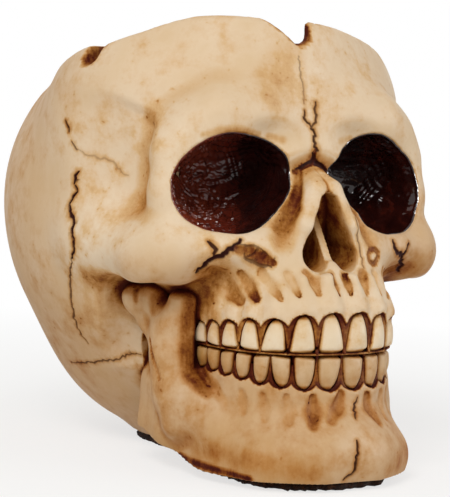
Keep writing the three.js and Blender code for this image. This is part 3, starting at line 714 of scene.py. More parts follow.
def face_normals(points, quads):
    """Normal of each point from the quads round it."""
    a, b, c, d = (points[quads[:, i]] for i in range(4))
    n = np.cross(c - a, d - b)
    out = np.zeros_like(points)
    for i in range(4):
        np.add.at(out, quads[:, i], n)
    return unit(out)


def ring_quads(rings, around):
    """Quads between rings of points, each ring with the same number of points."""
    i, j = np.meshgrid(np.arange(rings - 1), np.arange(around), indexing="ij")
    k = (j + 1) % around
    corners = [i * around + j, i * around + k, (i + 1) * around + k, (i + 1) * around + j]
    return np.stack(corners, -1).reshape(-1, 4)


def mesh_object(name, points, quads, values, material, normals=None):
    """A smooth mesh object in metres with named values on its points."""
    mesh = bpy.data.meshes.new(name)
    mesh.vertices.add(len(points))
    mesh.vertices.foreach_set("co", (points * MM).astype(np.float32).ravel())
    mesh.loops.add(quads.size)
    mesh.loops.foreach_set("vertex_index", quads.astype(np.int32).ravel())
    mesh.polygons.add(len(quads))
    mesh.polygons.foreach_set("loop_start", np.arange(0, quads.size, 4, dtype=np.int32))
    mesh.polygons.foreach_set("use_smooth", np.ones(len(quads), bool))
    mesh.update(calc_edges=True)
    for key, value in values.items():
        layer = mesh.attributes.new(key, "FLOAT", "POINT")
        layer.data.foreach_set("value", np.asarray(value, np.float32))
    if normals is not None:
        mesh.normals_split_custom_set_from_vertices(normals.tolist())
    mesh.materials.append(material)
    piece = bpy.data.objects.new(name, mesh)
    bpy.context.scene.collection.objects.link(piece)
    return piece


def dress(piece, slot, *nodes):
    """Ties a piece to the one body and hides the solids that it stands for; the slot is not used."""
    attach(piece, "root")
    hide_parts(*nodes)


# Cracks: points on the skin, half width, depth and darkness; only on the side where the casting has them
CRANIUM_CRACKS = (
    # long crack down the right side of the vault, and the dashes above it
    ([(-51.4, -2.9, 92.7), (-51.2, -4.5, 90.2)], 0.42, 0.4, 1.0),
    ([(-50.9, -4.7, 87.6), (-50.2, -6.2, 85.6)], 0.34, 0.3, 0.7),
    ([(-50.2, -6.2, 85.6), (-49.3, -8.1, 84.6), (-46.5, -12.8, 83.5), (-45.2, -15, 82.9),
      (-42.7, -19.7, 79.3)], 0.3, 0.12, 0.28),
    ([(-49.6, -6.1, 79.3), (-50.1, -4.4, 76.3)], 0.5, 0.45, 1.0),
    ([(-49.8, -5.4, 75.5), (-49.8, -6, 73.6), (-50.7, -3.7, 70.8), (-51, -5, 68.8), (-51.4, -7.1, 66.8),
      (-51.5, -7.8, 65.6), (-51.8, -7.3, 63.6), (-51.7, -8.1, 61.3), (-51.1, -8.2, 58.6),
      (-50.3, -5.8, 55.9)], 0.55, 0.6, 1.0),
    ([(-50.3, -5.8, 55.9), (-47.6, -0.3, 49.3), (-46, 2.7, 43.4), (-43.7, 4.8, 37.5), (-40.8, 5.6, 32.2),
      (-39.4, 4.6, 30.3)], 0.42, 0.4, 0.75),
    # suture behind the ear
    ([(-35, 22, 22.5), (-35.3, 11.5, 24.2), (-35.1, 0.5, 25.9), (-31.7, -6.2, 28.4), (-31, -11, 29.5)],
     0.28, 0.3, 0.7),
    # forehead
    ([(-2.8, -40, 113.4), (-2.7, -41.7, 107), (-2.5, -43.6, 100.7)], 0.3, 0.2, 0.4),
    ([(-3.2, -44.4, 98.8), (-2.6, -45.5, 95.9), (-0.7, -45.6, 94.3)], 0.42, 0.4, 0.85),
    ([(0.8, -43.4, 100.8), (1.1, -44.8, 96.8), (-0.7, -45.6, 94.3)], 0.42, 0.4, 0.8),
    ([(-0.7, -45.6, 94.3), (0.3, -46.3, 92), (-0.4, -46.8, 90.6), (0.3, -47.5, 87.7)], 0.5, 0.5, 0.9),
    # where it forks across the root of the nose
    ([(0.2, -46.8, 88), (0.2, -45.4, 85.6), (-1.6, -44.8, 84.3), (-4.6, -44.9, 82.9)], 0.6, 0.4, 0.85),
    ([(0.2, -45.4, 85.6), (2.4, -44.8, 83.9), (5.4, -44.9, 82.3)], 0.8, 0.4, 0.9),
    # right cheek
    ([(-24.9, -50.2, 64.8), (-26.8, -50.5, 63), (-28.5, -50.2, 61.9), (-30.2, -49.2, 60.3),
      (-32.1, -48, 59.1), (-33.5, -45.9, 56.9), (-34.7, -44.5, 55.2)], 0.82, 0.7, 1.0),
    ([(-34.5, -48.4, 64.4), (-33, -49.1, 63.2), (-32.2, -49.4, 62.1), (-32.2, -48.6, 60)], 0.5, 0.35, 0.95),
    # left cheek
    ([(24.5, -50.3, 64.9), (25.3, -50.9, 61.1), (28.7, -49.3, 59.8), (31, -49.6, 63.1)], 0.7, 0.5, 1.0),
    ([(28.7, -49.3, 59.8), (31.3, -45.2, 56.4), (32.4, -43.1, 54.5)], 0.75, 0.5, 1.0),
    # stripes in the pit under the right socket
    ([(-25.8, -50.8, 62.5), (-23.2, -52, 61.9), (-20.6, -53.6, 60.7)], 0.4, 0.3, 0.55),
    ([(-24, -51.6, 60.8), (-21.4, -53.2, 59.8), (-18.4, -55.2, 58.7)], 0.6, 0.3, 0.7),
    ([(-24.6, -51.3, 61.6), (-21.6, -53, 60.6), (-19, -54.8, 59.6)], 0.4, 0.3, 0.55),
    # beside the nose on the left
    ([(7.4, -49.8, 75.4), (8.2, -54.0, 70.2), (9.6, -56.2, 63.6), (10.2, -57.8, 58.4)], 0.3, 0.2, 0.55),
)
JAW_CRACKS = (
    ([(4.4, -63, 23.6), (3.4, -65, 21.4), (2.2, -67, 18.7)], 0.34, 0.35, 0.9),
    ([(0, -71.6, 14.2), (-0.5, -72, 8), (-1.2, -71.2, 5.3), (-3.5, -70.6, 3.5)], 0.5, 0.6, 0.9),
)


def jagged(field, cracks, seed):
    """Each crack as stations along a jagged line on the skin, its half width thinning to both ends."""
    draw = np.random.default_rng(seed)
    out = []
    for points, half, depth, dark in cracks:
        p = np.asarray(points, float)
        run = np.concatenate([[0], np.cumsum(np.linalg.norm(np.diff(p, axis=0), axis=1))])
        count = max(int(run[-1] / 0.9), 3) + 1
        at = np.linspace(0, run[-1], count)
        line = np.stack([np.interp(at, run, p[:, i]) for i in range(3)], 1)
        line += draw.normal(0, 0.24, line.shape)
        line = settle(field, line, reach=1.0, turns=4)
        share = at / run[-1]
        wide = half * (0.35 + 0.65 * np.sin(np.pi * np.clip(share, 0.06, 0.94)) ** 0.7)
        wide *= 0.75 + 0.5 * draw.random(count)
        out.append(([(*map(float, q), float(w)) for q, w in zip(line, wide)], depth, dark))
    return out


def crack_depth(points, cracks):
    """How deep and how dark the cracks make each point, and the wash that bled out beside them."""
    depth, dark, bled = (np.zeros(len(points), np.float32) for _ in range(3))
    p = tuple(points[:, i].astype(np.float32) for i in range(3))
    for stations, deep, tone in cracks:
        s = np.asarray(stations)
        lo, hi = s[:, :3].min(0) - 2, s[:, :3].max(0) + 2
        here = ((points > lo) & (points < hi)).all(1)
        if not here.any():
            continue
        b = bump(tuple(v[here] for v in p), [(*q[:3], q[3] * 1.35) for q in stations])
        depth[here] = np.maximum(depth[here], deep * b)
        dark[here] = np.maximum(dark[here], tone * np.clip(b * 2.4, 0, 1))
        halo = bump(tuple(v[here] for v in p), [(*q[:3], q[3] * 2 + 0.8) for q in stations])
        bled[here] = np.maximum(bled[here], 0.3 * tone * halo)
    return depth, dark, bled


def near_cracks(points, quads, cracks, margin):
    """Which quads lie within margin of a crack."""
    middle = points[quads].mean(1)
    p = tuple(middle[:, i].astype(np.float32) for i in range(3))
    hit = np.zeros(len(quads), bool)
    for stations, _, _ in cracks:
        s = np.asarray(stations)
        here = ((middle > s[:, :3].min(0) - margin) & (middle < s[:, :3].max(0) + margin)).all(1)
        wide = [(*q[:3], q[3] + margin) for q in stations]
        hit[here] |= bump(tuple(v[here] for v in p), wide) > 0
    return hit


def near_skin(points, quads, field, margin):
    """Which quads lie within margin of the skin of a field."""
    return np.abs(in_parts(field, points[quads].mean(1))) < margin


# How far out to look for room, in millimetres, and the share of each look
NEAR_LOOKS = ((1.2, 0.4), (2.6, 0.6))
FAR_LOOKS = ((6.0, 0.5), (12.0, 0.5))


def shut_in(points, normals, looks):
    """How shut in each point is, from 0 in the open to 1 deep in a gap."""
    out = np.zeros(len(points), np.float32)
    for reach, share in looks:
        room = in_parts(everything, points + normals * reach) / reach
        out += share * (1 - np.clip(room, 0, 1))
    return out


def stain_and_shade_from(points, marks):
    """Strength of the wash, and in places of painted shade, that the marks leave on each point, running out
    softly past each mark's width.
    """
    out = np.zeros(len(points), np.float32)
    for side, stations, *_, strength in marks:
        b = strength * bump(to_side(points.T, side), [(*s[:3], s[3] * 1.6) for s in stations])
        out = out + b - out * b
    return out


def finished(name, field, points, quads, cracks, hollows, stain_and_shade_marks, material, extra):
    """Cuts the cracks into a cast skin, works out where the wash and the painted shade lie and makes the
    mesh.
    """
    normals = unit(slope(field, points))
    depth, dark, bled = crack_depth(points, cracks)
    near, far = (shut_in(points, normals, looks) for looks in (NEAR_LOOKS, FAR_LOOKS))
    stain = np.maximum(np.maximum(stain_and_shade_from(points, hollows), stain_and_shade_from(points, stain_and_shade_marks)), bled)
    moved = points - normals * depth[:, None]
    cut = depth > 0.01
    shading = normals.copy()
    shading[cut] = face_normals(moved, quads)[cut]
    tones, walls = extra(points)
    values = {"near": near, "far": far, "stain": np.maximum(stain, walls), "crack": dark, **tones}
    return mesh_object(name, moved, quads, values, material, shading)


# Materials

def linear(code):
    """Linear colour from an sRGB hex value."""
    parts = [int(code[i:i + 2], 16) / 255 for i in (1, 3, 5)]
    return (*(v / 12.92 if v <= 0.04045 else ((v + 0.055) / 1.055) ** 2.4 for v in parts), 1.0)


def node(tree, kind, settings, *inputs, out=0, stops=()):
    """Adds a node with settings, colour stops and inputs, each a socket with a value or a link."""
    n = tree.nodes.new(kind)
    for key, value in settings.items():
        setattr(n, key, value)
    for key, value in inputs:
        if isinstance(value, bpy.types.NodeSocket):
            tree.links.new(value, n.inputs[key])
        else:
            n.inputs[key].default_value = value
    for i, (at, code) in enumerate(stops):
        element = n.color_ramp.elements[i] if i < 2 else n.color_ramp.elements.new(at)
        element.position, element.color = at, linear(code)
    return n.outputs[out] if len(n.outputs) else n


MATH, NOISE, RAMP, MIX = "ShaderNodeMath", "ShaderNodeTexNoise", "ShaderNodeValToRGB", "ShaderNodeMix"
MULTIPLY = {"operation": "MULTIPLY"}
MULTIPLY_CLAMPED = {"operation": "MULTIPLY", "use_clamp": True}
SCALE_ADD = {"operation": "MULTIPLY_ADD"}
SCALE_ADD_CLAMPED = {"operation": "MULTIPLY_ADD", "use_clamp": True}
SUM = {"operation": "ADD"}
LARGER = {"operation": "MAXIMUM"}


def blank(name):
    """A new material with nothing in it, and a way to add nodes to it."""
    material = bpy.data.materials.new(name)
    material.use_nodes = True
    material.node_tree.nodes.clear()
    return material, partial(node, material.node_tree)


def painted_resin(name, pale, warm, tan_and_shade_colour, roughness):
    """Polyresin cast and painted ivory, then antiqued: a thin brown wash was brushed on and wiped off, so it
    stays in every recess, in blotches, streaks and specks. The raised parts stay pale with a satin sheen."""
    material, new = blank(name)
    where = new("ShaderNodeTexCoord", {}, out="Object")
    near, far, stain, crack, tan = (new("ShaderNodeAttribute", {"attribute_name": key}, out="Fac")
                                    for key in ("near", "far", "stain", "crack", "tan"))
    # patches 24 mm and blotches 6 mm across, specks drawn at 0.9 mm so that they show, streaks 3 by 16 mm
    broad, blotch, grain = (
        new(NOISE, {}, ("Vector", where), ("Scale", 1 / (size * MM)), ("Detail", detail),
            ("Roughness", rough))
        for size, detail, rough in ((24, 4.0, 0.6), (6, 4.0, 0.62), (0.9, 3.0, 0.65)))
    stroke = (1 / (3 * MM), 1 / (3 * MM), 1 / (16 * MM))
    drawn = new("ShaderNodeMapping", {}, ("Vector", where), ("Scale", stroke))
    streak = new(NOISE, {}, ("Vector", drawn), ("Scale", 1.0), ("Detail", 3.0), ("Roughness", 0.55))
    coat = new(RAMP, {}, ("Fac", broad), stops=((0.34, warm), (0.64, pale)), out="Color")
    uneven = new(MATH, SCALE_ADD, (0, new(MATH, SUM, (0, blotch), (1, streak))), (1, 0.42), (2, 0.43))
    # the paint turns toward the deeper colour where the tan value says: partly a tan tone, partly painted
    # shade
    shade = new(MATH, MULTIPLY_CLAMPED, (0, tan), (1, uneven))
    coat = new(MIX, {"data_type": "RGBA"}, (0, shade), (6, coat), (7, linear(tan_and_shade_colour)), out=2)
    # wash lies where a place is shut in closely or widely, where the brush left it or shade is painted, and
    # as a film all over
    close_by = new(MATH, SCALE_ADD_CLAMPED, (0, near), (1, 1.1), (2, -0.16))
    wide = new(MATH, SCALE_ADD_CLAMPED, (0, far), (1, 0.5), (2, -0.18))
    cloud = new(MATH, MULTIPLY, (0, broad), (1, blotch))
    film = new(MATH, SCALE_ADD_CLAMPED, (0, cloud), (1, 0.5), (2, -0.1))
    brushed_and_shade = new(MATH, MULTIPLY, (0, stain), (1, new(MATH, SCALE_ADD, (0, streak), (1, 1.8), (2, 0.1))))
    held = new(MATH, SUM, (0, close_by), (1, wide))
    wash = new(MATH, SUM, (0, held), (1, new(MATH, SUM, (0, brushed_and_shade), (1, film))))
    # the wash dried in dots about half a millimetre across, few and far between
    dots = new(NOISE, {}, ("Vector", where), ("Scale", 1 / (1.5 * MM)), ("Detail", 1.0))
    dots = new(MATH, SCALE_ADD_CLAMPED, (0, dots), (1, 8.0), (2, -5.6))
    wash = new(MATH, SCALE_ADD, (0, new(MATH, MULTIPLY, (0, dots), (1, wash))), (1, 1.2), (2, wash))
    speck = new(MATH, SCALE_ADD, (0, grain), (1, 0.9), (2, 0.55))
    patch = new(MATH, SCALE_ADD, (0, blotch), (1, 1.3), (2, 0.35))
    uneven = new(MATH, MULTIPLY, (0, speck), (1, patch))
    wash = new(MATH, MULTIPLY_CLAMPED, (0, wash), (1, uneven))
    tint = new(RAMP, {}, ("Fac", wash), stops=WASH_AND_SHADE_STOPS, out="Color")
    washed = {"data_type": "RGBA", "blend_type": "MULTIPLY"}
    colour = new(MIX, washed, (0, 1.0), (6, coat), (7, tint), out=2)
    colour = new(MIX, {"data_type": "RGBA"}, (0, crack), (6, colour), (7, linear(CRACK_COLOUR)), out=2)
    relief = new(MATH, SCALE_ADD, (0, grain), (1, 0.35), (2, blotch))
    lift = new("ShaderNodeBump", {}, ("Strength", 0.4), ("Distance", 0.2 * MM), ("Height", relief))
    dull = new(MATH, LARGER, (0, crack), (1, wash))
    matt = new(MATH, SCALE_ADD, (0, dull), (1, 0.3), (2, roughness))
    shader = new("ShaderNodeBsdfPrincipled", {}, ("Base Color", colour), ("IOR", RESIN_IOR), ("Normal", lift),
                 ("Specular IOR Level", 0.14), ("Roughness", matt))
    new("ShaderNodeOutputMaterial", {}, ("Surface", shader))
    return material


def socket_lacquer():
    """Thick red-brown gloss lacquer poured over a lumpy coat: near black where it pools, red where it is thin
    on the outer wall, with wet wandering highlights on the lumps. That red is partly painted light."""
    material, new = blank("poured_gloss_lacquer")
    where = new("ShaderNodeTexCoord", {}, out="Object")
    # runs 3.5 by 14 mm and ripples 1.5 by 5 mm, long along the photograph's line of sight
    along = ("Rotation", (0, 0, math.radians(CAMERA_AZIMUTH)))
    pours = []
    for wide, length, detail, warp in ((3.5, 14, 2.0, 0.6), (1.5, 5, 1.0, 0.4)):
        size = (wide * MM, length * MM, wide * MM)
        run = new("ShaderNodeMapping", {"vector_type": "TEXTURE"}, ("Vector", where), along, ("Scale", size))
        pours.append(new(NOISE, {}, ("Vector", run), ("Scale", 1.0), ("Detail", detail),
                         ("Distortion", warp)))
    folds, ripples = pours
    # red on the outer wall: partly thin lacquer, partly painted light, strongest in the right socket
    thin = new("ShaderNodeAttribute", {"attribute_name": "thin"}, out="Fac")
    spread = new(MATH, MULTIPLY, (0, thin), (1, 0.55))
    depth = new(MATH, SCALE_ADD, (0, folds), (1, 0.6), (2, spread))
    colour = new(RAMP, {}, ("Fac", depth), out="Color",
                 stops=((0.22, "#190706"), (0.42, "#2a0d09"), (0.7, "#5e2114"), (1.0, "#84361e")))
    height = new(MATH, MULTIPLY, (0, ripples), (1, new(MATH, SCALE_ADD, (0, thin), (1, 0.8), (2, 0.2))))
    lift = new("ShaderNodeBump", {}, ("Strength", 0.35), ("Distance", 0.3 * MM), ("Height", height))
    shader = new("ShaderNodeBsdfPrincipled", {}, ("Base Color", colour), ("IOR", RESIN_IOR), ("Normal", lift),
                 ("Specular IOR Level", 0.5), ("Roughness", 0.07))
    new("ShaderNodeOutputMaterial", {}, ("Surface", shader))
    return material


def raw_sole():
    """Unpainted underside of the casting: ground rough and soaked with the dark wash."""
    material, new = blank("ground_resin")
    where = new("ShaderNodeTexCoord", {}, out="Object")
    grit = new(NOISE, {}, ("Vector", where), ("Scale", 1 / (1.4 * MM)), ("Detail", 4.0), ("Roughness", 0.65))
    colour = new(RAMP, {}, ("Fac", grit), out="Color",
                 stops=((0.35, "#120805"), (0.55, "#2c160b"), (0.75, "#5b3519")))
    lift = new("ShaderNodeBump", {}, ("Strength", 0.8), ("Distance", 0.6 * MM), ("Height", grit))
    shader = new("ShaderNodeBsdfPrincipled", {}, ("Base Color", colour), ("IOR", RESIN_IOR), ("Normal", lift),
                 ("Specular IOR Level", 0.2), ("Roughness", 0.85))
    new("ShaderNodeOutputMaterial", {}, ("Surface", shader))
    return material


# Tint of the wash, and of the shade painted with it, over the paint, from none of it to a thick pool
WASH_AND_SHADE_STOPS = ((0.0, "#ffffff"), (0.12, "#f0dcbc"), (0.3, "#d6ae77"), (0.5, "#b07f3e"), (0.72, "#80471b"),
              (1.0, "#581f0d"))
CRACK_COLOUR = "#300d07"
RESIN_IOR = 1.5
IVORY_RESIN = painted_resin("painted_ivory_polyresin", "#e9d6bd", "#dcc19d", "#b8843f", roughness=0.5)
TOOTH_RESIN = painted_resin("painted_tooth_polyresin", "#f0e0c8", "#e6d0ae", "#b98b50", roughness=0.42)
LACQUER = socket_lacquer()
SOLE = raw_sole()

# The cranium in two skins of the same field: the fine face in front, the plainer vault and bowl behind it
FACE_BACK_Y = -20.0
FACE_TOP_Z = 103.0
FACE_BOX = ((-56, -72, 30), (56, FACE_BACK_Y + 4, FACE_TOP_Z + 4))
VAULT_BOX = ((-60, -58, 0), (60, 84, 128))
JAW_BOX = ((-46, -78, 0), (46, -4, 58))
# Strength of the wash in the scallops of the gum, and how much more of it lies along the bite
GUM_WASH = 0.74
BITE_WASH = 1.2


def gum_wash(points, row, lo, hi):
    """Wash in the scallops of a row: thickest along the bite, up to the height lo, and even from hi on."""
    gums = ramp(-gum_cut(points.T, row), -0.5, 0.3)
    return gums * (1 + BITE_WASH - BITE_WASH * ramp(points[:, 2], lo, hi)) * GUM_WASH


def cranium_values(points):
    """Tan of the vault and the cheeks, partly paint and partly painted shade, and the wash in the bowl,
    the notches, the nose and the gums, with painted shade deep in the nose.
    """
    x, y, z = points.T
    inside = ramp(-ellipsoid(points.T, BOWL[0], [r + 1.2 for r in BOWL[1]]), -0.4, 1.0)
    cut = ramp(-(notches(points.T) - 0.8), 0, 0.8)
    # tan toward the back, low on the vault, a little on the crown and low on the cheeks: partly the paint's
    # own tone, partly painted shade
    tan = 0.5 * ramp(y, -22, 30) + 0.3 * ramp(z, 66, 24) * ramp(y, -25, 0) + 0.1 * ramp(z, 86, 100)
    tan = tan + 0.45 * ramp(z, 66, 54) * ramp(np.abs(x), 25, 32) * ramp(y, -24, -32)
    # painted shade over the left (+X) side of the face below the brow
    tan = tan + 0.55 * ramp(x, 12, 26) * ramp(z, 86, 68)
    # inside the nose: wash, darker deeper behind the opening and low down as painted shade, paler on the
    # front of the septum
    hole = ramp(-nose(points.T), -0.5, 0.6) * ramp(y, -56, -50)
    plate = ramp(np.abs(x), 1.6, 1.0) * ramp(y - septum_front(z), 3.2, 1.0)
    hole = hole * (0.8 - 0.7 * plate + 0.2 * ramp(z, 66, 60))
    walls = np.maximum(np.maximum(inside * 0.16, cut * 0.6), hole)
    gums = gum_wash(points, ROWS["upper"], MOUTH_Z + 0.3, MOUTH_Z + 1.2)
    return {"tan": np.clip(tan, 0, 1)}, np.maximum(walls, gums)


def in_face(points, margin):
    return (points[:, 1] < FACE_BACK_Y + margin) & (points[:, 2] < FACE_TOP_Z + margin)


cranium_cracks = jagged(cranium, CRANIUM_CRACKS, seed=11)

points, quads = cast(cranium, *FACE_BOX, FACE_STEP)
points, quads = kept(points, quads, in_face(points, margin=1.0)[quads].all(1))
chosen = near_cracks(points, quads, cranium_cracks, margin=0.5)
points, quads = split(points, quads, chosen, parts=3, field=cranium, reach=0.3)
upper_gums = partial(gum_cut, row=ROWS["upper"])
chosen = near_skin(points, quads, upper_gums, margin=0.5) | near_skin(points, quads, nose, margin=0.45)
points, quads = split(points, quads, chosen, parts=2, field=cranium, reach=0.25)
cranium_marks = (cranium_cracks, FACE_HOLLOWS, FACE_STAINS_AND_SHADE, IVORY_RESIN, cranium_values)
face = finished("cranium_face", cranium, points, quads, *cranium_marks)
dress(face, "ivory_resin", "cranium")

points, quads = cast(cranium, *VAULT_BOX, VAULT_STEP)
points, quads = kept(points, quads, ~in_face(points, margin=-1.2)[quads].all(1))
chosen = near_cracks(points, quads, cranium_cracks, margin=0.8)
points, quads = split(points, quads, chosen, parts=5, field=cranium, reach=0.5)
vault = finished("cranium_vault", cranium, points, quads, *cranium_marks)
dress(vault, "ivory_resin", "cranium")


def jaw_values(points):
    """Tan of the jaw, partly paint and partly painted light and shade, paler on the chin, and the wash in its
    gums.
    """
    x, y, z = mirrored(points.T)
    # the jaw darker than the face and darker toward its foot as painted shade, paler on the front of the chin
    # as painted highlight, over the paint's own tan
    tan = 0.68 + 0.2 * ramp(z, 24, 6) - 0.25 * ramp(-y, 66, 72) * ramp(x, 14, 4)
    return {"tan": np.clip(tan, 0, 1)}, gum_wash(points, ROWS["lower"], MOUTH_Z - 0.6, MOUTH_Z - 1.5)


jaw_cracks = jagged(mandible, JAW_CRACKS, seed=12)
points, quads = cast(mandible, *JAW_BOX, JAW_STEP)
chosen = near_cracks(points, quads, jaw_cracks, margin=0.5)
points, quads = split(points, quads, chosen, parts=3, field=mandible, reach=0.3)
lower_gums = partial(gum_cut, row=ROWS["lower"])
chosen = near_skin(points, quads, lower_gums, margin=0.9)
points, quads = split(points, quads, chosen, parts=2, field=mandible, reach=0.25)
jaw_marks = (jaw_cracks, JAW_HOLLOWS, JAW_STAINS_AND_SHADE, IVORY_RESIN, jaw_values)
jaw = finished("mandible_skin", mandible, points, quads, *jaw_marks)
dress(jaw, "ivory_resin", "mandible")


# Teeth

# Rings of a tooth from its biting edge at 0 to its neck at 1, and how far each is drawn in
TOOTH_RINGS = np.concatenate([[0.0, 0.0, 0.03, 0.06, 0.09, 0.12], np.linspace(0.16, 0.88, 17),
                              [0.93, 0.965, 0.985, 1, 1]])
TOOTH_INSET = np.concatenate([[0.02, 0.5, 0.66, 0.84, 0.95, 0.99], np.ones(len(TOOTH_RINGS) - 8),
                              [0.6, 0.02]])
TOOTH_AROUND = 40
TOOTH_POWER = 2.7


def tooth_mesh(name, place, row, side, seed):
    """One tooth: a bulging shield with a worn biting edge and a rounded neck, brown beside its neighbours."""
    x, y, nx, ny, width, height = place
    draw = np.random.default_rng(seed)
    a = np.linspace(0, 2 * np.pi, TOOTH_AROUND, endpoint=False)
    ca, sa = np.cos(a), np.sin(a)
    shape = (np.abs(ca) ** TOOTH_POWER + np.abs(sa) ** TOOTH_POWER) ** (-1 / TOOTH_POWER)
    deep = TOOTH_DEEP / 2
    lean, twist, chip = draw.normal(0, 0.045), draw.normal(0, 0.35), draw.normal(0, 0.025, 2)
    points, wash = [], []
    for h, near_end in zip(TOOTH_RINGS, TOOTH_INSET):
        share = shield(h, row["taper"]) * (near_end if h > 0.5 else near_end ** 0.4)
        across = (width - TOOTH_GAP) / 2 * share * shape * ca + lean * (h - 0.5) * width
        belly = 0.5 * math.sin(math.pi * min(h * 1.15 + 0.05, 1)) - 1.1 * max(h - 0.6, 0) ** 1.4
        out = deep * near_end * shape * sa - deep + np.where(sa > 0, belly * sa, 0) + twist * across / width
        chipped = (1 - h) * (chip[0] * ca + chip[1] * ca * ca) * (h > 0)
        worn = row["bite"] + (height - row["bite"]) * (h + chipped)
        z = row["edge"] + row["up"] * worn
        px, py = side * (x + nx * out - ny * across), y + ny * out + nx * across
        points.append(np.stack([px, py, z + 0 * ca], 1))
        front = np.clip(sa * shape, 0, 1)
        rim = np.clip(np.abs(ca * shape), 0, 1)
        brown = 0.6 * ramp(rim, 0.84, 1.0) + 0.7 * ramp(front, 0.75, 0.3)
        brown = brown + 0.55 * ramp(h, 0.86, 0.98) + 0.5 * ramp(h, 0.08, 0.03) + 0.06 * ramp(h, 0.4, 0.9)
        wash.append(np.clip(brown, 0, 1) + 0 * ca)
    points = np.concatenate(points)
    quads = ring_quads(len(TOOTH_RINGS), TOOTH_AROUND)
    if row["up"] * side < 0:
        quads = quads[:, ::-1]
    zero = np.zeros(len(points))
    # darker toward the back of the mouth and on the lower row, partly tan paint and partly painted shade,
    # with a little random tone
    tan = 0.35 * ramp(np.float64(-y), 52, 38) + row["tan"] + abs(draw.normal(0, 0.07))
    values = {"near": zero, "far": zero, "crack": zero, "stain": np.concatenate(wash), "tan": zero + tan}
    return mesh_object(name, points, quads, values, TOOTH_RESIN)


for row_name, row in ROWS.items():
    for word, side in (("right", -1), ("left", 1)):
        for i, place in enumerate(row["places"]):
            label = f"{row_name}_tooth_{word}_{i + 1}"
            piece = tooth_mesh(label + "_crown", place, row, side, i + 10 * side + 100)
            dress(piece, "tooth_resin", label)


# Eye linings

def outer_wall(p):
    """Runs from 0 on the nose side of a socket to 1 on its temple side."""
    return ramp(0.84 * np.abs(p[0]) + 0.545 * p[1], -12, 6)


def lining_field(p):
    """A lumpy shell on the socket's wall that thins out to its rim, with beads on the right one alone."""
    s = sockets(p)
    x, y, z = mirrored(p)
    skin = cranium_skin(p)
    folds = np.sin(0.9 * x + 1.2 * z + 2.6 * np.sin(0.5 * y + 0.45 * z))
    folds = folds * np.sin(1.1 * z - 0.8 * y + 2.3 * np.sin(0.55 * x))
    lumps = np.sin(1.7 * y + 1.0 * z + 2.2 * np.sin(0.9 * x - 0.5 * z))
    lumps = lumps * np.sin(1.6 * x - 1.3 * z + 2.1 * np.sin(0.8 * y))
    beads = (p[0] < 0) * np.sin(3.1 * x - 1.7 * y + 1.5 * np.sin(0.9 * z))
    beads = beads * np.sin(2.7 * z + 1.9 * y + 1.3 * np.sin(1.1 * x))
    rough = outer_wall(p) * np.where(p[0] < 0, 1.0, LEFT_ROUGH)
    thick = 0.95 + (0.1 + 0.5 * rough) * folds + (0.03 + 0.4 * rough) * lumps + 0.16 * rough * beads
    inner = s + 0.15 + ramp(-skin, 0.4, 3) * thick
    return np.maximum(np.maximum(s - 0.6, -inner), skin + 0.25)


# Box round the left lining, how rough the left one is beside the right one, and how much of the outer wall's
# red, thin lacquer and painted light, it gets
LINING_BOX = ((4, -56, 62), (44, -16, 96))
LEFT_ROUGH = 0.1
LEFT_THIN_AND_LIT = 0.15

for word, side in (("right", -1), ("left", 1)):
    ends = sorted(side * corner[0] for corner in LINING_BOX)
    lo, hi = ((end, *corner[1:]) for end, corner in zip(ends, LINING_BOX))
    points, quads = cast(lining_field, lo, hi, LINING_STEP)
    # the outer wall's red, partly thin lacquer and partly painted light; the left socket gets only a little
    # of it
    thin = outer_wall(points.T) * (1.0 if side < 0 else LEFT_THIN_AND_LIT)
    normals = unit(slope(lining_field, points))
    piece = mesh_object(f"{word}_eye_lacquer", points, quads, {"thin": thin}, LACQUER, normals)
    dress(piece, "eye_lacquer", f"{word}_eye_lining")


# Sole

# Left half of the sole's edge, the middle it shrinks to, and each level's height and share of the edge
SOLE_SIDE = [(3, -69.5), (12, -67), (19, -61), (22.5, -52), (22, -40), (19, -20), (13, -10), (13, 10),
             (12, 21), (9, 27), (4, 30)]
SOLE_MIDDLE = (0.0, -24.0)
SOLE_LEVELS = ((0.0, 0.0), (0.0, 0.94), (0.5, 0.965), (1.5, 0.975), (2.45, 0.95), (2.45, 0.0))
SOLE_AROUND = 240


def sole_mesh():
    """Ragged plate under the jaw and the neck."""
    ring = np.array(SOLE_SIDE + [(-x, y) for x, y in reversed(SOLE_SIDE)], float)
    ring = np.concatenate([ring, ring[:1]])
    run = np.concatenate([[0], np.cumsum(np.hypot(*np.diff(ring, axis=0).T))])
    at = np.linspace(0, run[-1], SOLE_AROUND, endpoint=False)
    x, y = (np.interp(at, run, ring[:, i]) for i in range(2))
    draw = np.random.default_rng(5)
    ragged = 1 + 0.014 * draw.normal(size=SOLE_AROUND) + 0.01 * np.sin(at * 0.9)
    rings = []
    for z, share in SOLE_LEVELS:
        wobble = 1 + 0.006 * draw.normal(size=SOLE_AROUND)
        px, py = (m + (v - m) * share * ragged * wobble for m, v in zip(SOLE_MIDDLE, (x, y)))
        rings.append(np.stack([px, py, np.full(SOLE_AROUND, z)], 1))
    quads = ring_quads(len(rings), SOLE_AROUND)
    return mesh_object("ground_sole", np.concatenate(rings), quads, {}, SOLE)


dress(sole_mesh(), "sole_resin", "base_sole")


# Studio: white floor and surround, soft light, the camera at the photograph's angle

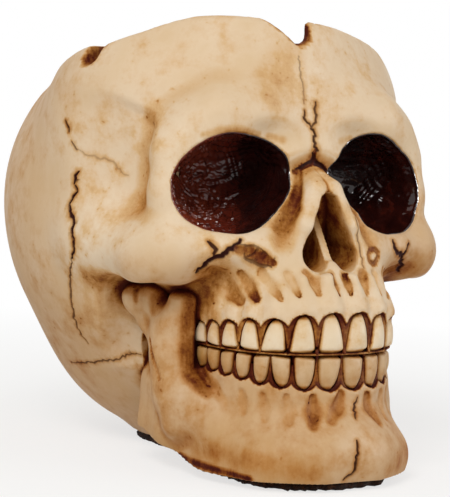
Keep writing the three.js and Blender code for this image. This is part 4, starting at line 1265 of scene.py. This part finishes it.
def studio_white():
    """Matt white card. To the camera it is plain white, a little darker where the object shades it."""
    material, new = blank("white_card")
    camera_ray, glossy_ray = (new("ShaderNodeLightPath", {}, out=key)
                              for key in ("Is Camera Ray", "Is Glossy Ray"))
    seen = new(MATH, LARGER, (0, camera_ray), (1, glossy_ray))
    where = new("ShaderNodeTexCoord", {}, out="Object")
    away = new("ShaderNodeVectorMath", {"operation": "LENGTH"}, (0, where), out="Value")
    share = new("ShaderNodeMapRange", {}, ("Value", away), (1, 0.10), (2, 0.36), (3, 0.7), (4, 1.0))
    card = new("ShaderNodeBsdfDiffuse", {}, ("Color", linear("#f6f5f2")))
    glow = new("ShaderNodeEmission", {}, ("Color", (1, 1, 1, 1)), ("Strength", 1.0))
    bright = new(MATH, MULTIPLY, (0, seen), (1, share))
    mix = new("ShaderNodeMixShader", {}, ("Fac", bright), (1, card), (2, glow))
    new("ShaderNodeOutputMaterial", {}, ("Surface", mix))
    return material


FLOOR_CORNERS = ((-900, -700, 0), (900, -700, 0), (900, 900, 0), (-900, 900, 0))
floor = mesh_object("floor", np.array(FLOOR_CORNERS, float), np.array([[0, 1, 2, 3]]), {}, studio_white())

scene = bpy.context.scene
world = bpy.data.worlds.new("studio")
world.use_nodes = True
world.node_tree.nodes.clear()
new = partial(node, world.node_tree)
camera_ray, glossy_ray, through = (new("ShaderNodeLightPath", {}, out=key)
                                   for key in ("Is Camera Ray", "Is Glossy Ray", "Is Transmission Ray"))
seen = new(MATH, LARGER, (0, camera_ray), (1, new(MATH, LARGER, (0, glossy_ray), (1, through))))
dome = new("ShaderNodeBackground", {}, ("Color", linear("#fbf8f2")), ("Strength", 0.42))
white = new("ShaderNodeBackground", {}, ("Color", (1, 1, 1, 1)), ("Strength", 1.0))
mix = new("ShaderNodeMixShader", {}, ("Fac", seen), (1, dome), (2, white))
new("ShaderNodeOutputWorld", {}, ("Surface", mix))
scene.world = world


def lamp(name, place, target, size, watts, lights_matt=True):
    """A square lamp turned to a target. Unless it lights matt surfaces it shows only as a glint."""
    light = bpy.data.lights.new(name, "AREA")
    light.energy = watts
    light.size = size
    rig = bpy.data.objects.new(name, light)
    rig.location = place
    rig.visible_diffuse = lights_matt
    rig.rotation_euler = (Vector(target) - Vector(place)).to_track_quat("-Z", "Y").to_euler()
    scene.collection.objects.link(rig)


lamp("key", (-0.62, -0.56, 0.78), (0, -0.02, 0.07), size=0.45, watts=6.0)
lamp("side", (0.62, -0.62, 0.45), (0, 0, 0.07), size=0.75, watts=1.7)
# two small lamps that show as glints, most of all on the wet lacquer
SOCKETS_AT = (-0.02, -0.04, 0.08)
lamp("glint", (0.74, -0.55, 0.16), SOCKETS_AT, size=0.18, watts=4.0, lights_matt=False)
lamp("glint_high", (0.62, -0.66, 0.46), SOCKETS_AT, size=0.16, watts=3.0, lights_matt=False)

a, e, r = (math.radians(v) for v in (CAMERA_AZIMUTH, CAMERA_ELEVATION, CAMERA_ROLL))
back = Vector((math.sin(a) * math.cos(e), -math.cos(a) * math.cos(e), math.sin(e)))
level = Vector((math.cos(a), math.sin(a), 0))
upright = back.cross(level)
right = math.cos(r) * level + math.sin(r) * upright
up = -math.sin(r) * level + math.cos(r) * upright
place = (Vector(CAMERA_TARGET) + back * CAMERA_DISTANCE) * MM
lens = bpy.data.cameras.new("camera")
lens.sensor_width = SENSOR_WIDTH
lens.lens = FOCAL_PIXELS / FRAME_PIXELS * lens.sensor_width
lens.clip_start = 0.01
camera = bpy.data.objects.new("camera", lens)
camera.matrix_world = Matrix([(right[i], up[i], back[i], place[i]) for i in range(3)] + [(0, 0, 0, 1)])
scene.collection.objects.link(camera)
scene.camera = camera
scene.view_settings.view_transform = "Standard"
